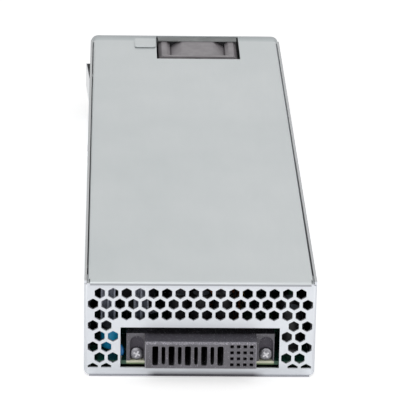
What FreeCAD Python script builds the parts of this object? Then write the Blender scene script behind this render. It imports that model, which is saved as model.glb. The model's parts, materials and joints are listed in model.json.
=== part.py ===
import FreeCAD, Part
import math
import os

# Hot swap power supply module for a server, in millimetres.
#
# Looking at the connector end, +X is right, +Y is away and +Z is up. Pieces are drawn with
# y = 0 at the outer face of the connector end panel. save() then moves each one by half of the
# case's length, so that the origin is the centre of the case's underside.

V = FreeCAD.Vector
X_AXIS = V(1, 0, 0)
Y_AXIS = V(0, 1, 0)
Z_AXIS = V(0, 0, 1)

# Case
CASE_W = 90.6
CASE_H = 40.2
CASE_L = 315.5
HALF_W = CASE_W / 2
SHEET = 1.0
FLOOR_BEND = 2.2
LID_HALF_W = 43.95
LID_SKIRT = 9.0
LID_END_Y = 305.9
ROLL_HALF_W = 43.0
ROLL_DROP = 0.6
RELIEF_W = 0.5
RELIEF_L = 2.2
TRAY_END_Y = 306.2

# Connector end panel, which covers the ends of the side walls
PANEL_FLANGE = 9.0
PANEL_LOW = 0.62
PANEL_CORNER = 2.0
PANEL_BEND = 1.2
PANEL_RETURN = 1.9
WALL_START = 2.1
HOOD_LOW = 38.9
HOOD_GAP = 0.3
FLOOR_EDGE = 0.55
FLOOR_NOSE = 0.4
FLOOR_NOSE_HALF_W = 43.3

# Hexagonal vent holes
HOLE_PITCH = 5.23
HOLE_ROW_PITCH = HOLE_PITCH * math.sqrt(3) / 2
HOLE_FLATS = 3.97
TOP_ROW_Z = 34.89
HOLE_ROWS = 8
ROWS_ABOVE_CONNECTOR = 3
CLEAR_COLUMNS = 6.2
HOLES_END_Z = 3.5

# Connector opening in the connector end panel
OPENING_LEFT = -31.05
OPENING_RIGHT = 31.2
OPENING_TOP = 20.55

# Circuit board
BOARD_HALF_W = 42.9
BOARD_LOW = 4.15
BOARD_TOP = 5.75
BOARD_FRONT = 1.9
BOARD_BACK = 274.0
BOARD_SCREWS = [(x, y) for y in (34.0, 266.0) for x in (-39.0, 39.0)]

# Connector
NOSE_FRONT = -7.0
NOSE_LEFT = -21.5
NOSE_RIGHT = 22.0
NOSE_LOW = 6.1
CONNECTOR_TOP = 17.4
EAR_LEFT = -28.7
EAR_RIGHT = 29.3
EAR_FRONT = 1.7
CONNECTOR_BACK = 12.0
SLOT_Z = 11.75
POWER_PITCH = 6.35
FIRST_POWER_X = -17.5
WIDE_SLOTS = 5
SIGNAL_PITCH = 2.54
FIRST_SIGNAL_X = 12.4
SIGNAL_ROWS = 4
CONTACT_FRONT = 8.0
CONNECTOR_SCREWS = ((-24.6, 8.35), (26.1, 8.35))
EAR_RECESS_R = 2.75
EAR_RECESS_TOP = 16.2
EAR_RECESS_DEPTH = 2.2

# Fan
FAN_X = 5.95
FAN_SIZE = 38.0
FAN_LOW = 1.05
FAN_Z = FAN_LOW + FAN_SIZE / 2
FAN_FRONT = 285.2
FAN_DEPTH = 28.0
FAN_BACK = FAN_FRONT + FAN_DEPTH
FAN_FLANGE = 2.2
FAN_BORE_R = 18.1
FAN_TUBE_R = 20.3
FAN_POST_R = 3.0
FAN_HOLE_OFFSET = 16.0
FAN_HUB_R = 8.6
FAN_SHAFT_R = 1.5
SHAFT_CLEARANCE = 0.04
BLADES = 7
BLADE_DEGREES = 40.0
BLADE_DEPTH = 12.0
BLADE_SHEET = 1.3
BLADE_STATIONS = ((7.9, 0.0), (12.5, 3.0), (17.2, 9.0))
FAN_CORNER = 2.2

# Cut-out over the fan
CUTOUT_LEFT = -13.8
CUTOUT_RIGHT = 25.7
CUTOUT_FRONT = 278.3

# Outer end panel, a shallow pan
END_SHEET = 0.8
PAN_FRONT = 306.3
PAN_TOP = CASE_H - 0.25
PAN_INNER = CASE_L - END_SHEET
PAN_RIM = 1.7
PAN_CORNER = 3.6
PAN_EDGE = 0.6
GRILLE_FLATS = 6.0
GRILLE_PITCH = 6.8

# Clip that holds the cover's end to the outer end panel
CLIP_LEFT = -24.1
CLIP_RIGHT = -14.3
CLIP_FRONT = 294.5
CLIP_BACK = 307.3
CLIP_SHEET = 0.42
CLIP_LIFT = 0.3
CLIP_STEM_Y = 306.9

# Mains inlet, standing upright
INLET_X = -26.6
INLET_Z = 20.0
INLET_BEZEL = (22.5, 31.0, 2.5)
INLET_BODY = (19.8, 27.2)
INLET_SOCKET = (16.5, 24.0)
INLET_DEPTH = 14.5
INLET_BACK = 299.5

# Latch on the left wall
LATCH_LOW = 16.5
LATCH_TOP = 28.0
LATCH_SHEET = 0.35
LATCH_GAP = 0.05
LATCH_START = 190.0
LATCH_PIVOT_Y = 194.5
LATCH_RAMP_Y = 280.6
LATCH_END = 308.0
LATCH_PROUD = 2.2
WINDOW_START = 197.0
WINDOW_END = 311.0
WINDOW_MARGIN = 0.6

# Bail handle, a U-shaped strap
BAIL_Y = CASE_L + 4.0
BAIL_PIVOT_Z = 29.5
BAIL_LOW = 8.2
BAIL_HALF_W = 18.1
BAIL_STRAP = 1.4
BAIL_WIDTH = 5.0
BAIL_BEND = 4.0
PIVOT_R = 1.5
PIVOT_REACH = 6.2
PIVOT_CLEARANCE = 0.05
LUG_OFFSET = 3.6
LUG_SHEET = 1.2
LUG_FOOT = 1.0

# Screws: head radius, head height, chamfer of the head, shank radius, sides of the head
FAN_SCREW = (2.65, 1.4, 0.6, 1.5, 16)
BOARD_SCREW = (2.85, 1.8, 0.7, 1.25, 12)
CONNECTOR_SCREW = (2.55, 1.9, 0.9, 1.25, 28)


# ---------------------------------------------------------------- building blocks

def box(x0, x1, y0, y1, z0, z1):
    return Part.makeBox(x1 - x0, y1 - y0, z1 - z0, V(x0, y0, z0))


def block(centre_x, centre_y, size_x, size_y, z0, z1):
    """A box given by its centre in plan, its size and its two levels."""
    return box(centre_x - size_x / 2, centre_x + size_x / 2,
               centre_y - size_y / 2, centre_y + size_y / 2, z0, z1)


def rod(start, direction, radius, length):
    return Part.makeCylinder(radius, length, V(*start), V(*direction))


def many_sided(start, direction, radius, sides):
    """Corners of a regular outline square to the direction; the radius is measured to the corners."""
    along = V(*direction)
    across = V(along.y, along.z, along.x)
    other = along.cross(across)
    angles = [2 * math.pi * (k + 0.5) / sides for k in range(sides)]
    return [V(*start) + across * (radius * math.cos(a)) + other * (radius * math.sin(a)) for a in angles]


def facet(corners):
    return Part.Face(Part.makePolygon(list(corners) + [corners[0]]))


def faceted(facets):
    """Solid bounded by flat facets."""
    solid = Part.Solid(Part.Shell([facet(corners) for corners in facets]))
    if solid.Volume < 0:
        solid.reverse()
    return solid


def bar(start, direction, radius, length, sides):
    return facet(many_sided(start, direction, radius, sides)).extrude(V(*direction) * length)


def tapered_bar(start, direction, radius, end_radius, length, sides):
    near = many_sided(start, direction, radius, sides)
    far = many_sided(V(*start) + V(*direction) * length, direction, end_radius, sides)
    walls = [(near[k - 1], near[k], far[k], far[k - 1]) for k in range(sides)]
    return faceted(walls + [near, far])


def prism(points, sweep):
    """An outline given corner by corner, swept along a vector."""
    corners = [V(*p) for p in points]
    return Part.Face(Part.makePolygon(corners + corners[:1])).extrude(V(*sweep))


def round_along(shape, axis, radius):
    """Rounds every straight edge that runs along an axis."""
    edges = [e for e in shape.Edges
             if isinstance(e.Curve, Part.Line) and abs(e.tangentAt(e.FirstParameter).dot(axis)) > 0.999]
    return shape.makeFillet(radius, edges)


def round_box(x0, x1, y0, y1, z0, z1, axis, radius):
    return round_along(box(x0, x1, y0, y1, z0, z1), axis, radius)


def fuse(shapes):
    joined = shapes[0].multiFuse(shapes[1:])
    return joined.removeSplitter()


def group(shapes):
    return Part.makeCompound(shapes)


def turned(shape, base, axis, degrees):
    copy = shape.copy()
    copy.rotate(V(*base), axis, degrees)
    return copy


def hexagon(x, z, flats, y0, y1):
    """A six-sided prism along Y with a corner at the top."""
    corner = flats / math.sqrt(3)
    points = [(x + corner * math.sin(k * math.pi / 3), y0, z + corner * math.cos(k * math.pi / 3))
              for k in range(6)]
    return prism(points, (0, y1 - y0, 0))


def screw(head_base, direction, sizes, length):
    """Screw: its head rises from head_base along direction, its shank goes the other way."""
    radius, height, chamfer, shank_radius, sides = sizes
    along = V(*direction)
    base = V(*head_base)
    head = bar(base, along, radius, height - chamfer, sides)
    dome = tapered_bar(base + along * (height - chamfer), along, radius, radius - 1.2 * chamfer, chamfer, sides)
    return fuse([head, dome, bar(base, along * -1, shank_radius, length, 8)])


def save(node, shape):
    moved = shape.copy()
    moved.translate(V(0, -CASE_L / 2, 0))
    moved.exportStep(f"parts/{node}.step")


# ---------------------------------------------------------------- case

def latch_window(x0, x1):
    return box(x0, x1, WINDOW_START, WINDOW_END, LATCH_LOW - WINDOW_MARGIN, LATCH_TOP + WINDOW_MARGIN)


def cover_screw_places():
    """Side (-1 or 1) and y of each countersunk screw that holds the cover's skirt."""
    return [(side, y) for side in (-1, 1) for y in (26.0, 266.0)]


COVER_SCREW_Z = 35.0


def chassis_tray():
    """Floor and side walls folded from one sheet, cut back at the front for the end panel."""
    above = CASE_H + 4 * FLOOR_BEND
    outer = round_box(-HALF_W, HALF_W, -FLOOR_NOSE, TRAY_END_Y, 0, above, Y_AXIS, FLOOR_BEND)
    inner = round_box(-HALF_W + SHEET, HALF_W - SHEET, -1, TRAY_END_Y + 1, SHEET, above + 1,
                      Y_AXIS, FLOOR_BEND - SHEET)
    cuts = [inner, box(-HALF_W - 1, HALF_W + 1, -1, CASE_L, CASE_H, above + 2),
            box(-HALF_W - 1, HALF_W + 1, -1, WALL_START, FLOOR_EDGE, HOOD_LOW),
            box(-HALF_W - 1, HALF_W + 1, -1, 0, FLOOR_EDGE, above),
            box(-HALF_W - 1, -FLOOR_NOSE_HALF_W, -1, WALL_START, -1, FLOOR_EDGE + 0.1),
            box(FLOOR_NOSE_HALF_W, HALF_W + 1, -1, WALL_START, -1, FLOOR_EDGE + 0.1),
            latch_window(-HALF_W - 1, -HALF_W + SHEET + 1)]
    cuts += [bar((-HALF_W - 1, LATCH_PIVOT_Y, z), (1, 0, 0), 1.3, 3, 8) for z in latch_rivet_levels()]
    for side, y in cover_screw_places():
        cuts.append(tapered_bar((side * HALF_W, y, COVER_SCREW_Z), (-side, 0, 0), 3.0, 1.6, 1.05, 16))
    return outer.cut(group(cuts))


def vent_holes():
    """Hexagonal holes in rows: whole rows above the connector, short ones beside it."""
    holes = []
    for row in range(HOLE_ROWS):
        z = TOP_ROW_Z - row * HOLE_ROW_PITCH
        first = -7.5 if row % 2 == 0 else -8.0
        for k in range(int(-2 * first) + 1):
            column = first + k
            if row < ROWS_ABOVE_CONNECTOR or abs(column) > CLEAR_COLUMNS:
                holes.append(hexagon(column * HOLE_PITCH, z, HOLE_FLATS, -1, SHEET + 1))
    return group(holes)


def connector_end_panel():
    """Perforated panel over the whole width, with a joggled flange inside each side wall."""
    inside = HALF_W - SHEET - 0.05
    high = CASE_H - SHEET - 0.05
    plate = box(-HALF_W, HALF_W, 0, PANEL_RETURN, PANEL_LOW, high)
    bends = [e for e in plate.Edges if e.CenterOfMass.y < 0.01 and abs(e.CenterOfMass.x) > HALF_W - 0.01]
    plate = plate.makeFillet(PANEL_BEND, bends)
    corners = round_box(-HALF_W, HALF_W, -1, 3, PANEL_LOW, high + 9, Y_AXIS, PANEL_CORNER)
    plate = plate.common(corners).cut(box(-inside + SHEET, inside - SHEET, SHEET, 3, 0, CASE_H))
    flanges = [box(side * (inside - SHEET / 2) - SHEET / 2, side * (inside - SHEET / 2) + SHEET / 2,
                   SHEET, PANEL_FLANGE, SHEET + FLOOR_BEND - 0.8, high) for side in (-1, 1)]
    hoods = [box(side * HALF_W - SHEET - 0.1, side * HALF_W + SHEET + 0.1, -1, PANEL_RETURN + 0.01,
                 HOOD_LOW - HOOD_GAP, CASE_H) for side in (-1, 1)]
    holes = vent_holes().cut(box(-HALF_W, HALF_W, -2, 3, -3, HOLES_END_Z))
    opening = box(OPENING_LEFT, OPENING_RIGHT, -1, SHEET + 1, HOLES_END_Z, OPENING_TOP)
    return fuse([plate.cut(group(hoods))] + flanges).cut(group([holes, opening]))


def top_cover():
    """Lid with a skirt inside each side wall, a front edge rolled down and a notch over the fan."""
    skirt_end = 294.0
    below = CASE_H - LID_SKIRT - 5
    outer = round_box(-LID_HALF_W, LID_HALF_W, 0.2, LID_END_Y, below, CASE_H, Y_AXIS, 1.1)
    inner = box(-LID_HALF_W + SHEET, LID_HALF_W - SHEET, -1, LID_END_Y + 1, below - 1, CASE_H - SHEET)
    lid = outer.cut(group([inner, box(-HALF_W, HALF_W, -1, CASE_L, 0, CASE_H - LID_SKIRT),
                           box(-HALF_W, HALF_W, skirt_end, CASE_L, 0, CASE_H - SHEET),
                           box(-HALF_W, HALF_W, -1, PANEL_FLANGE + 0.5, 0, CASE_H - SHEET)]))
    half = ROLL_HALF_W
    roll = box(-half, half, -SHEET, 0.7, CASE_H - SHEET - ROLL_DROP, CASE_H)
    corner = [e for e in roll.Edges
              if abs(e.Length - 2 * half) < 0.01 and e.CenterOfMass.y < -0.5 and e.CenterOfMass.z > CASE_H - 0.1]
    roll = roll.makeFillet(0.95, corner).cut(box(-half, half, 0, 2, 0, CASE_H - SHEET))
    lid = fuse([lid, roll])
    cuts = [box(CUTOUT_LEFT, CUTOUT_RIGHT, CUTOUT_FRONT, CASE_L, CASE_H - 2, CASE_H + 1)]
    cuts += [block(side * (half + RELIEF_W / 2), RELIEF_L / 2 - 1, RELIEF_W, RELIEF_L + 2, CASE_H - 2, CASE_H + 1)
             for side in (-1, 1)]
    cuts += [bar((side * (LID_HALF_W + 1), y, COVER_SCREW_Z), (-side, 0, 0), 1.4, 3, 8)
             for side, y in cover_screw_places()]
    return lid.cut(group(cuts))


def cover_screws():
    """Countersunk screws that lie flush in the side walls."""
    screws = []
    for side, y in cover_screw_places():
        head = tapered_bar((side * (HALF_W - 0.05), y, COVER_SCREW_Z), (-side, 0, 0), 2.85, 1.5, 0.95, 16)
        shank = bar((side * (HALF_W - 0.9), y, COVER_SCREW_Z), (-side, 0, 0), 1.2, 3.6, 8)
        screws.append(fuse([head, shank]))
    return group(screws)


def cover_clip():
    """Flat clip over the joint of the cover and the outer end panel, with a hooked stem."""
    low = CASE_H + CLIP_LIFT
    plate = round_box(CLIP_LEFT, CLIP_RIGHT, CLIP_FRONT, CLIP_BACK, low, low + CLIP_SHEET, Z_AXIS, 1.2)
    middle = (CLIP_LEFT + CLIP_RIGHT) / 2
    stem = block(middle, CLIP_STEM_Y, 5.0, 0.8, CASE_H - 5, low + 0.1)
    hook = box(middle - 2.5, middle + 2.5, CLIP_STEM_Y - 0.4, CLIP_STEM_Y + 2.2, CASE_H - 5.6, CASE_H - 5)
    return fuse([plate, stem, hook])


def fan_grille_holes():
    """Hexagonal holes within the fan's circle."""
    holes = []
    for row in range(-3, 4):
        shift = 0.5 if row % 2 else 0.0
        for column in range(-3, 4):
            dx = (column + shift) * GRILLE_PITCH
            dz = row * GRILLE_PITCH * math.sqrt(3) / 2
            if math.hypot(dx, dz) < FAN_BORE_R - GRILLE_FLATS / 2 + 0.5:
                holes.append(hexagon(FAN_X + dx, FAN_Z + dz, GRILLE_FLATS, PAN_INNER - 1, CASE_L + 1))
    return holes


LED_X = 33.0
LED_Z = 24.0
TAB_SLOT = (-44.3, -39.2, 17.0, 27.5)


def outer_end_panel():
    """Shallow pan that closes the outer end, with the fan grille and the inlet's hole."""
    outer = round_box(-HALF_W, HALF_W, PAN_FRONT, CASE_L, 0, PAN_TOP, Y_AXIS, PAN_CORNER)
    rim = [e for e in outer.Edges if abs(e.CenterOfMass.y - CASE_L) < 0.01]
    outer = outer.makeChamfer(PAN_EDGE, rim)
    inner = round_box(-HALF_W + END_SHEET, HALF_W - END_SHEET, PAN_FRONT - 1, PAN_INNER,
                      END_SHEET, PAN_TOP - END_SHEET, Y_AXIS, PAN_CORNER - END_SHEET)
    pan = outer.cut(inner)
    tabs = []
    for side in (-1, 1):
        for low, high in ((5.0, 13.5), (30.5, 35.0)):
            inside = sorted((side * (HALF_W - SHEET - 0.1), side * (HALF_W - SHEET - 0.1 - END_SHEET)))
            step = sorted((side * (HALF_W - END_SHEET / 2), inside[0] if side > 0 else inside[1]))
            tabs.append(box(inside[0], inside[1], PAN_FRONT - 8, PAN_FRONT + END_SHEET, low, high))
            tabs.append(box(step[0], step[1], PAN_FRONT, PAN_FRONT + END_SHEET, low, high))
    pan = fuse([pan] + tabs)
    holes = fan_grille_holes()
    holes.append(box(CUTOUT_LEFT, CUTOUT_RIGHT, PAN_FRONT - 1, CASE_L - PAN_RIM, PAN_TOP - 1.2, CASE_H + 1))
    stem_x = (CLIP_LEFT + CLIP_RIGHT) / 2
    holes.append(box(stem_x - 2.7, stem_x + 2.7, PAN_FRONT - 1, CLIP_STEM_Y + 0.6, PAN_TOP - 2, PAN_TOP + 1))
    holes.append(block(INLET_X, CASE_L, INLET_BODY[0] + 0.2, 4, INLET_Z - INLET_BODY[1] / 2 - 0.1,
                       INLET_Z + INLET_BODY[1] / 2 + 0.1))
    holes += [bar((x, PAN_INNER - 1, z), (0, 1, 0), 1.75, 3, 8) for x, z in fan_corners()]
    holes.append(bar((LED_X, PAN_INNER - 1, LED_Z), (0, 1, 0), 1.7, 3, 12))
    holes.append(box(TAB_SLOT[0], TAB_SLOT[1], PAN_INNER - 1, CASE_L + 1, TAB_SLOT[2], TAB_SLOT[3]))
    holes.append(latch_window(-HALF_W - 1, -HALF_W + SHEET + 1))
    return pan.cut(group(holes))


# ---------------------------------------------------------------- fan

def square_plate(y0, y1):
    half = FAN_SIZE / 2
    short = half - FAN_CORNER
    corners = [(-half, -short), (-short, -half), (short, -half), (half, -short),
               (half, short), (short, half), (-short, half), (-half, short)]
    return prism([(FAN_X + x, y0, FAN_Z + z) for x, z in corners], (0, y1 - y0, 0))


def fan_corners():
    return [(FAN_X + i * FAN_HOLE_OFFSET, FAN_Z + k * FAN_HOLE_OFFSET) for i in (-1, 1) for k in (-1, 1)]


def fan_frame():
    """Two square flanges joined by a duct with flats and by a post at each corner."""
    flanges = [square_plate(FAN_FRONT, FAN_FRONT + FAN_FLANGE), square_plate(FAN_BACK - FAN_FLANGE, FAN_BACK)]
    duct = bar((FAN_X, FAN_FRONT, FAN_Z), (0, 1, 0), FAN_TUBE_R, FAN_DEPTH, 24).common(
        square_plate(FAN_FRONT, FAN_BACK))
    posts = [bar((x, FAN_FRONT, z), (0, 1, 0), FAN_POST_R, FAN_DEPTH, 8) for x, z in fan_corners()]
    frame = fuse(flanges + [duct] + posts)
    bore = rod((FAN_X, FAN_FRONT - 1, FAN_Z), (0, 1, 0), FAN_BORE_R, FAN_DEPTH + 2)
    screw_holes = [bar((x, FAN_FRONT - 1, z), (0, 1, 0), 1.75, FAN_DEPTH + 2, 8) for x, z in fan_corners()]
    frame = frame.cut(group([bore] + screw_holes))
    base_y = FAN_BACK - 2.5
    base = bar((FAN_X, base_y, FAN_Z), (0, 1, 0), FAN_HUB_R, 2.5, 24)
    sleeve = bar((FAN_X, FAN_FRONT + 9, FAN_Z), (0, 1, 0), 3.4, base_y - FAN_FRONT - 8, 16)
    struts = []
    for k in range(4):
        strut = box(FAN_X - 1.0, FAN_X + 1.0, base_y, FAN_BACK, FAN_Z + FAN_HUB_R - 1, FAN_Z + FAN_BORE_R + 0.5)
        struts.append(turned(strut, (FAN_X, 0, FAN_Z), Y_AXIS, 45 + 90 * k))
    frame = fuse([frame, base, sleeve] + struts)
    return frame.cut(rod((FAN_X, FAN_FRONT + 8, FAN_Z), (0, 1, 0), 2.4, base_y - FAN_FRONT - 7))


def fan_bearing():
    """Sintered bush in the frame's sleeve."""
    start = (FAN_X, FAN_FRONT + 9.5, FAN_Z)
    outer = rod(start, (0, 1, 0), 2.4, 14)
    return outer.cut(rod(start, (0, 1, 0), FAN_SHAFT_R + SHAFT_CLEARANCE, 14))


def blade_station(radius, lead_degrees):
    """Outline of a blade at one radius: three points along its front, three back along its rear."""
    outline = []
    for shares, rear in (((0, 0.5, 1), 0), ((1, 0.5, 0), BLADE_SHEET)):
        for share in shares:
            angle = math.radians(lead_degrees + BLADE_DEGREES * share)
            y = FAN_FRONT + 5.0 + BLADE_DEPTH * share + rear
            outline.append(V(FAN_X + radius * math.cos(angle), y, FAN_Z + radius * math.sin(angle)))
    return outline


def fan_blade():
    """Twisted blade, swept forward at its tip, made of flat facets."""
    stations = [blade_station(radius, lead) for radius, lead in BLADE_STATIONS]
    corners = []
    for near, far in zip(stations, stations[1:]):
        for k in range(6):
            following = (k + 1) % 6
            corners.append((near[k], near[following], far[following]))
            corners.append((near[k], far[following], far[k]))
    for outline in (stations[0], stations[-1]):
        for a, b, c in ((0, 1, 4), (0, 4, 5), (1, 2, 3), (1, 3, 4)):
            corners.append((outline[a], outline[b], outline[c]))
    return faceted(corners)


def fan_rotor():
    """Hub cup with the blades round it and the boss that holds the shaft."""
    start = FAN_FRONT + 2.0
    cup = bar((FAN_X, start, FAN_Z), (0, 1, 0), FAN_HUB_R, 20, 32)
    cup = cup.makeChamfer(0.8, [e for e in cup.Edges if abs(e.CenterOfMass.y - start) < 0.01])
    hollow = bar((FAN_X, start + 1.6, FAN_Z), (0, 1, 0), FAN_HUB_R - 1.4, 20, 32)
    boss = bar((FAN_X, start + 1, FAN_Z), (0, 1, 0), 3.0, 4.5, 16)
    socket = rod((FAN_X, start + 1.2, FAN_Z), (0, 1, 0), FAN_SHAFT_R, 20)
    blade = fan_blade()
    blades = [turned(blade, (FAN_X, 0, FAN_Z), Y_AXIS, 360 * k / BLADES) for k in range(BLADES)]
    body = fuse([cup] + blades).cut(hollow)
    return fuse([body, boss]).cut(socket)


def fan_shaft():
    return rod((FAN_X, FAN_FRONT + 3.2, FAN_Z), (0, 1, 0), FAN_SHAFT_R, 19.5)


def fan_gasket():
    """Foam frame between the fan and the outer panel, with a strip that laps over the fan's top."""
    half = FAN_SIZE / 2
    short = half - 10.0
    corners = [(-half, -short), (-short, -half), (short, -half), (half, -short),
               (half, short), (short, half), (-short, half), (-half, short)]
    frame = prism([(FAN_X + x, FAN_BACK, FAN_Z + z) for x, z in corners], (0, PAN_INNER - FAN_BACK, 0))
    frame = frame.cut(bar((FAN_X, FAN_BACK - 1, FAN_Z), (0, 1, 0), FAN_BORE_R, 4, 32))
    top = FAN_LOW + FAN_SIZE
    lap = box(FAN_X - 12, FAN_X + 12, FAN_BACK - 0.5, PAN_INNER, top, PAN_TOP - END_SHEET)
    strip = box(FAN_X - 18.9, FAN_X + 18.9, FAN_BACK - 4.7, CASE_L - PAN_RIM - 0.2, top, top + 0.6)
    return fuse([frame, lap, strip])


def fan_screws():
    """Screws through the outer panel into the fan; the upper two also hold the handle's lugs."""
    screws = []
    for x, z in fan_corners():
        seat = CASE_L + (LUG_FOOT if z > FAN_Z else 0)
        screws.append(screw((x, seat, z), (0, 1, 0), FAN_SCREW, seat - FAN_BACK + 7))
    return group(screws)


# ---------------------------------------------------------------- inlet

def inlet_outline(width, height, chamfer, y0, y1):
    """The inlet's section: a rectangle standing upright with its two left corners cut off."""
    left = INLET_X - width / 2
    right = INLET_X + width / 2
    low = INLET_Z - height / 2
    high = INLET_Z + height / 2
    points = [(right, y0, low), (right, y0, high), (left + chamfer, y0, high), (left, y0, high - chamfer),
              (left, y0, low + chamfer), (left + chamfer, y0, low)]
    return prism(points, (0, y1 - y0, 0))


def inlet_pin_places():
    """Centre of each pin: line and neutral above and below, earth set off to the left."""
    return ((INLET_X + 2.0, INLET_Z - 7.0), (INLET_X + 2.0, INLET_Z + 7.0), (INLET_X - 2.0, INLET_Z))


def inlet_housing():
    bezel_w, bezel_h, bezel_t = INLET_BEZEL
    bezel = round_box(INLET_X - bezel_w / 2, INLET_X + bezel_w / 2, CASE_L, CASE_L + bezel_t,
                      INLET_Z - bezel_h / 2, INLET_Z + bezel_h / 2, Y_AXIS, 2.5)
    front = [e for e in bezel.Edges if abs(e.CenterOfMass.y - CASE_L - bezel_t) < 0.01]
    bezel = bezel.makeChamfer(0.7, front)
    body = inlet_outline(INLET_BODY[0], INLET_BODY[1], 5.0, INLET_BACK, CASE_L + 0.5)
    socket_floor = CASE_L + bezel_t - INLET_DEPTH
    socket = inlet_outline(INLET_SOCKET[0], INLET_SOCKET[1], 4.2, socket_floor, CASE_L + bezel_t + 1)
    pins = [block(x, INLET_BACK + 5, 4.1, 20, z - 1.05, z + 1.05) for x, z in inlet_pin_places()]
    return fuse([bezel, body]).cut(group([socket] + pins))


def inlet_pins():
    """Three flat pins that run through the housing and end in rear tabs."""
    pins = []
    for x, z in inlet_pin_places():
        pin = block(x, (INLET_BACK + CASE_L - 2) / 2, 4.0, CASE_L - 2 - INLET_BACK, z - 1.0, z + 1.0)
        tip = [e for e in pin.Edges if abs(e.CenterOfMass.y - CASE_L + 2) < 0.01]
        tab = block(x, INLET_BACK - 3.5, 4.0, 8, z - 0.4, z + 0.4)
        pins.append(fuse([pin.makeChamfer(0.5, tip), tab]))
    return group(pins)


# ---------------------------------------------------------------- handle, latch, light pipe

def handle_bail():
    """Strap bent into a U, with a pin on each end that points inwards."""
    left = FAN_X - BAIL_HALF_W
    right = FAN_X + BAIL_HALF_W
    y0 = BAIL_Y - BAIL_WIDTH / 2
    y1 = BAIL_Y + BAIL_WIDTH / 2
    outer = round_box(left, right, y0, y1, BAIL_LOW, 2 * BAIL_PIVOT_Z, Y_AXIS, BAIL_BEND)
    inner = round_box(left + BAIL_STRAP, right - BAIL_STRAP, y0 - 1, y1 + 1, BAIL_LOW + BAIL_STRAP,
                      3 * BAIL_PIVOT_Z, Y_AXIS, BAIL_BEND - BAIL_STRAP)
    strap = outer.cut(inner).cut(box(left - 1, right + 1, y0 - 1, y1 + 1, BAIL_PIVOT_Z, 3 * BAIL_PIVOT_Z))
    ends = [bar((x, BAIL_Y, BAIL_PIVOT_Z), (1, 0, 0), BAIL_WIDTH / 2, BAIL_STRAP, 24)
            for x in (left, right - BAIL_STRAP)]
    pins = [rod((x, BAIL_Y, BAIL_PIVOT_Z), (1, 0, 0), PIVOT_R, PIVOT_REACH)
            for x in (left, right - PIVOT_REACH)]
    return fuse([strap] + ends + pins)


def handle_lugs():
    """Two angle lugs under the upper fan screws, each with an eye for one pin of the handle."""
    lugs = []
    for side in (-1, 1):
        far = FAN_X + side * (BAIL_HALF_W - LUG_OFFSET)
        near = far - side * LUG_SHEET
        web_x = (min(far, near), max(far, near))
        screw_x = FAN_X + side * FAN_HOLE_OFFSET
        foot_x = (min(near, screw_x + side * 3.2), max(near, screw_x + side * 3.2))
        foot = box(foot_x[0], foot_x[1], CASE_L, CASE_L + LUG_FOOT, BAIL_PIVOT_Z - 3.0, CASE_H - 1.6)
        foot = foot.cut(bar((screw_x, CASE_L - 1, FAN_Z + FAN_HOLE_OFFSET), (0, 1, 0), 1.75, 4, 8))
        web = box(web_x[0], web_x[1], CASE_L + 0.2, BAIL_Y, BAIL_PIVOT_Z - 3.0, BAIL_PIVOT_Z + 3.0)
        nose = bar((web_x[0], BAIL_Y, BAIL_PIVOT_Z), (1, 0, 0), 3.1, LUG_SHEET, 16)
        eye = rod((web_x[0] - 1, BAIL_Y, BAIL_PIVOT_Z), (1, 0, 0), PIVOT_R + PIVOT_CLEARANCE, LUG_SHEET + 2)
        lugs.append(fuse([foot, web, nose]).cut(eye))
    return group(lugs)


def latch_rivet_levels():
    return (LATCH_LOW + 2.9, LATCH_TOP - 2.9)


def ramp_point(y, depth):
    """A point on the ramp, given its y and its depth below the ramp's outer face."""
    share = (y - LATCH_RAMP_Y) / (LATCH_END - LATCH_RAMP_Y)
    outer = -HALF_W - LATCH_GAP - LATCH_SHEET
    tip = -HALF_W - LATCH_PROUD
    return (outer + share * (tip - outer) + depth, y, LATCH_LOW)


def latch_spring():
    """Leaf that lies on the wall and rises in a ramp to a square catch edge."""
    outer = -HALF_W - LATCH_GAP - LATCH_SHEET
    inner = -HALF_W - LATCH_GAP
    points = [(inner, LATCH_START, LATCH_LOW), (inner, LATCH_RAMP_Y, LATCH_LOW),
              ramp_point(LATCH_END, LATCH_SHEET), ramp_point(LATCH_END, 0),
              (outer, LATCH_RAMP_Y, LATCH_LOW), (outer, LATCH_START, LATCH_LOW)]
    leaf = prism(points, (0, 0, LATCH_TOP - LATCH_LOW))
    root = [e for e in leaf.Edges
            if abs(e.CenterOfMass.y - LATCH_START) < 0.01 and abs(e.Length - LATCH_SHEET) < 0.01]
    leaf = leaf.makeChamfer(2.0, root)
    holes = [bar((-HALF_W - 2, LATCH_PIVOT_Y, z), (1, 0, 0), 1.1, 3, 8) for z in latch_rivet_levels()]
    return leaf.cut(group(holes))


def latch_rivets():
    """Rivets with low heads that hold the leaf's root to the wall."""
    outer = -HALF_W - LATCH_GAP - LATCH_SHEET
    inner = -HALF_W + SHEET + 0.1
    rivets = []
    for z in latch_rivet_levels():
        head = bar((outer, LATCH_PIVOT_Y, z), (-1, 0, 0), 1.6, 0.12, 16)
        shank = bar((outer, LATCH_PIVOT_Y, z), (1, 0, 0), 1.0, inner - outer, 8)
        tail = bar((inner, LATCH_PIVOT_Y, z), (1, 0, 0), 1.8, 0.7, 16)
        rivets.append(fuse([head, shank, tail]))
    return group(rivets)


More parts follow.
